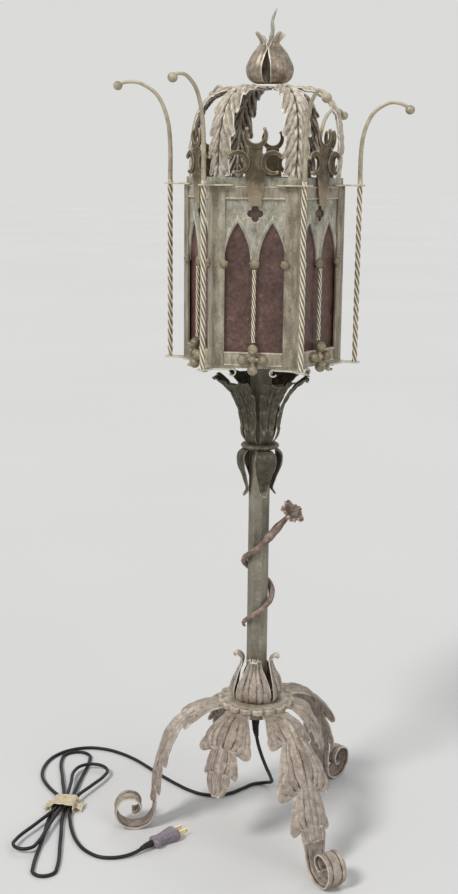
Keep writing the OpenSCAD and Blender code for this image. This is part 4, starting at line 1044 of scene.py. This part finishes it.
def brackets(z):
    """A strip out to the rod and an arm along either face, each a hair thinner than the one before."""
    outlines = [strip(FACE_R + 2 if z < TOP_Z else LANTERN_R - 5, ROD_RING + 7, 11)]
    for s in (-1, 1):
        arm = strip(-4, 26, 8.5) + [0, -2.2 * s]
        c, d = cosd(s * 120), sind(s * 120)
        outlines.append(pts(LANTERN_R + arm[:, 0] * c - arm[:, 1] * d, arm[:, 0] * d + arm[:, 1] * c))
    return [moved(plate([loop], BRACKET_T - 0.02 * k), by=(0, 0, z + 0.01 * k))
            for k, loop in enumerate(outlines)]


low_parts = brackets(FLOOR_Z - BRACKET_T)
# The lower arms' ends are curled under
a = np.radians(np.linspace(90, -150, 22))
curl = sweep(pts(26 + 4.2 * np.cos(a), 0 * a, -5.0 + 4.2 * np.sin(a)), rounded(16, 4, 1.0, 3.6),
             first=(0, 0, 1))
for turn in (-120, 120):
    low_parts.append(moved(moved(curl, turn), by=(LANTERN_R, 0, FLOOR_Z)))
put("lower_brackets", round_all(low_parts, CORNERS), IRON, ["bottom_brackets"])
put("upper_brackets", round_all(brackets(TOP_Z), CORNERS), TAN, ["top_brackets"])


# ---- Rods ----

# How far out and up each one bends, and the share of that height that its tip ends at
TIPS = [[59, 102, 0.93], [58, 100, 0.93], [62, 129, 0.93], [68, 125, 0.985], [57, 126, 0.98], [54, 109, 0.93]]
BEND = [[0, 0.02], [0, 0.4], [0.06, 0.66], [0.24, 0.88], [0.56, 1]]
for i, (far, tall, end) in enumerate(TIPS):
    z = np.linspace(FLOOR_Z - 1, TOP_Z + 6, 260)
    sway = 0.35 * np.sin(z * 0.021 + i)
    sway = sway * ease(z, FLOOR_Z, FLOOR_Z + 55) * ease(z, TOP_Z + 6, TOP_Z - 48)
    twisted = sweep(pts(0 * z + ROD_RING, sway, z), twisted_outline(), 3.55, spin=-360 * ROD_TURNS)
    points = BEND + [[0.84, (1 + end) / 2 + 0.02], [1, end]]
    bend = Line([[ROD_RING + far * out, 0, TOP_Z + tall * up] for out, up in points])
    s = np.linspace(0, bend.length, 90)
    plain = sweep(bend.at(s), rounded(14, 2.2), ROD_R * (0.98 - 0.3 * s / bend.length))
    tip = (ROD_RING + far, 0, TOP_Z + tall * end - 1)
    put("twisted_rod_%d" % (i + 1), round_all([twisted, plain, ball(6, tip, 0.97, 24, 0.02)], [CORNERS[i]]),
        ROD, ["rod_%d" % (i + 1)], wear_and_light=3.6)


# ---- Cresting ----

def crescent(at, r, start, end, mid, tip):
    """A crescent drawn flat: its outer edge at r, mid thick halfway round and tip thick at its horns."""
    u = np.linspace(0, 1, 40)
    a = np.radians(start + (end - start) * u)
    thick = tip + (mid - tip) * np.sin(np.pi * u) ** 0.8
    way = polar(1, a)
    loop = np.vstack([way * r, (way * (r - thick)[:, None])[::-1]])
    return (loop if end > start else loop[::-1]) + np.array(at)


def cresting():
    """A stem that widens upward, a crescent to either side, arms above them and a bowl on top."""
    z0 = RAIL_Z - 7
    half = [(7.2, 0), (8, 8), (10.6, 22), (12.6, 33), (11.4, 41), (8.8, 47), (8, 54), (8.4, 64), (7.4, 71)]
    stem = [(-7.2, 0)] + half + [(-x, y) for x, y in half[:0:-1]]
    stem = smooth(stem + stem[:1], 4)[:-1]
    parts = [on_face(plate([stem], 2.6, 0.6, 2), FACE_R + 0.1, z0)]
    # Each crescent: its middle, radius, start and end in degrees, thickness halfway and at its horns
    shapes = [((0, 82), 15, -90 - 128, -90 + 128, 6.6, 3.2), ((-21, 51), 14.6, 152, -116, 6.4, 3.8),
              ((21, 51), 14.6, 28, 296, 6.4, 3.8)]
    for k, (at, r, start, end, wide, tip) in enumerate(shapes):
        flat = plate([crescent(at, r, start, end, wide, tip)], 4.2, 1.3, 3)
        parts.append(on_face(flat, FACE_R + 0.3 + 0.05 * k, z0))
        for a in (start, end):
            x = at[0] + (r - tip / 2) * cosd(a)
            y = at[1] + (r - tip / 2) * sind(a)
            parts.append(ball(2.2, (FACE_R + 2.5, x, y + z0)))
    return round_all(parts, FACES)


put("crest_plates", cresting(), CREST, ["cresting"])


# ---- Crown ----

CROWN = [[0, 2], [0, 20], [1.5, 44], [-1, 68], [-6, 88], [-18, 105], [-36, 115], [-54, 118.3], [-71, 118.9]]
FOOT_R = 92
line = Line(smooth([[FOOT_R + r, TOP_Z + z] for r, z in CROWN], 2)[::-1], 6)
foot = ((PLATE_R - SHEET) / COS30 - FOOT_R - 1) / TAN30
table = [[-3, 10]] + scaled([[0, 10], [0.12, 12], [0.3, 13], [0.85, 10.5], [0.9, foot + 1], [0.94, foot],
                             [1, foot], [1.1, foot]], line.length)
lobes = scaled([[0.13, 0.29, 11, 16, 16, 12], [0.29, 0.46, 12, 19, 19, 12.5], [0.46, 0.63, 12.5, 19, 19, 12.5],
                [0.63, 0.79, 12.5, 18, 18, 11.5], [0.79, 0.92, 11.5, 15.5, 15.5, foot + 1]], line.length, 2)
strap = leaf(line, table, lobes, thick=1.7, flutes=2, flute=0.3, vein=0.8, groove=1.8, crown=2.4, curl=2.8,
             flick=2.0, step=1.2, cols=47, hold=(4, 24), rays=(15, 2.2, 4.4))
crown = round_all([strap], CORNERS)
for v, f in crown:
    v[:, 0] += CROWN_SHIFT * np.maximum(0, v[:, 2] - TOP_Z) / 120
put("crown_leaves", crown, STRAP, ["crown_straps"], wear_and_light=3.4)
put("crown_cap", [moved(plate([circle(26.8, 6)], 3, 0.8, 2), by=(CROWN_SHIFT, 0, CROWN_Z))], STRAP,
    ["crown_plate"], wear_and_light=4)

BUD_H = 62
petals("bud_petals", [[5, 0.02], [18, 0.03], [26, 0.12], [29, 0.24], [28, 0.37], [22, 0.56], [14.5, 0.72],
                      [12, 0.8], [16, 0.92], [21, 1]],
       CROWN_Z + 4, [[0, 32], [0.25, 34], [0.45, 35], [0.6, 40], [0.72, 44], [0.8, 34], [0.9, 20], [1, 6]],
       (222, 312, 42, 132), BUD_IRON, "finial_bud", wear_and_light=3.4, tall=BUD_H, shift=CROWN_SHIFT, side=-1, thick=1.5,
       flutes=2, flute=0.35, groove=0.8, crown=0.4, roll=0.6, cols=45, hold=(2, 26))

tall = BUD_H * 1.5
wave_line = Line(smooth([[0, 0, -6], [0, 0, 8]] + [[x, 0, tall * up] for x, up in (
    (0, 0.45), (1, 0.6), (3, 0.72), (2, 0.82), (5, 0.92), (8, 1))], 2), 6)
s = np.linspace(0, wave_line.length, 120)
size = read([[-0.1, 3], [0, 3], [0.5, 2.9], [0.75, 2.4], [0.95, 1.2], [1, 0.7], [1.1, 0.6]],
            s / wave_line.length)
spike = sweep(wave_line.at(s), rounded(14, 2.6), size * (1 + 0.05 * np.sin(s * 0.5)), spin=-240)
washer = lathe([[2.6, 0.1], [4.4, 0.1], [4.6, 0.9], [4.2, 2.0], [3.4, 2.3], [2.6, 2.3]], 32)
put("wavy_spike", [moved(part, by=(CROWN_SHIFT, 0, CROWN_Z + 3)) for part in (spike, washer)], IRON,
    ["finial_spike"])


# ---- CAD nodes that keep their shape ----

KEPT = ((IRON, "hub_disc lantern_floor"), (BRASS, "hub_nut floor_nut threaded_tube socket_cap socket_shell"),
        (NICKEL, "screw_shell bulb_base"), (BAKELITE, "switch_key"), (GLASS, "bulb_glass"),
        (RUBBER, "inner_cord cord_bushing"), (BLADE, "plug_blades"))
for material, names in KEPT:
    for name in names.split():
        mesh = NODES[name].data
        if not mesh.materials:
            mesh.materials.append(material)
        for k in range(len(mesh.materials)):
            mesh.materials[k] = material


# ---- Floor, background and light ----

FLOOR_R = 40  # In m, so that its rim is out of sight
p = Paint("floor")
disc = bpy.data.meshes.new("floor")
disc.from_pydata([(x, y, 0) for x, y in circle(FLOOR_R, 96)], [], [list(range(96))])
disc.materials.append(p.surface(
    Base_Color=p.ramp(p.noise(900, 3), [(0.3, (0.70, 0.695, 0.685, 1)), (0.7, (0.73, 0.725, 0.715, 1))]),
    Roughness=0.8, Specular_IOR_Level=0.0))
ground = placed("floor", disc)

# The background's own colour is seen, also in gloss and through glass, and a weaker light falls on the lamp
world = bpy.data.worlds.new("world")
bpy.context.scene.world = world
world.use_nodes = True
sky = Nodes(world.node_tree)
BACKDROP, SKY, SKY_STRENGTH = (0.708, 0.708, 0.695, 1), (0.96, 0.98, 1.0, 1), 0.42
seen = sky.node("Background", {0: BACKDROP, 1: 1.0})
lit = sky.node("Background", {0: SKY, 1: SKY_STRENGTH})
path = sky.t.nodes.new("ShaderNodeLightPath").outputs
shown = sky.maths("MAXIMUM", sky.maths("MAXIMUM", path["Is Camera Ray"], path["Is Glossy Ray"]),
                  path["Is Transmission Ray"])
sky.node("OutputWorld", {0: sky.node("MixShader", {0: shown, 1: lit, 2: seen})}, None)

# Sun lamps: strength, softness, where each stands and how high, in degrees
for name, strength, angle, azimuth, height, colour in (
        ("key", 1.75, 14, -125, 46, (1.0, 0.985, 0.96)), ("fill", 0.65, 40, -35, 30, (0.96, 0.98, 1.0)),
        ("rear", 0.45, 40, 90, 40, (1.0, 1.0, 1.0))):
    lamp = placed(name, bpy.data.lights.new(name, "SUN"))
    lamp.data.energy, lamp.data.angle, lamp.data.color = strength, math.radians(angle), colour
    lamp.matrix_world = (Matrix.Rotation(math.radians(azimuth + 90), 4, "Z")
                         @ Matrix.Rotation(math.radians(90 - height), 4, "X"))

bpy.context.scene.view_settings.view_transform = "Standard"
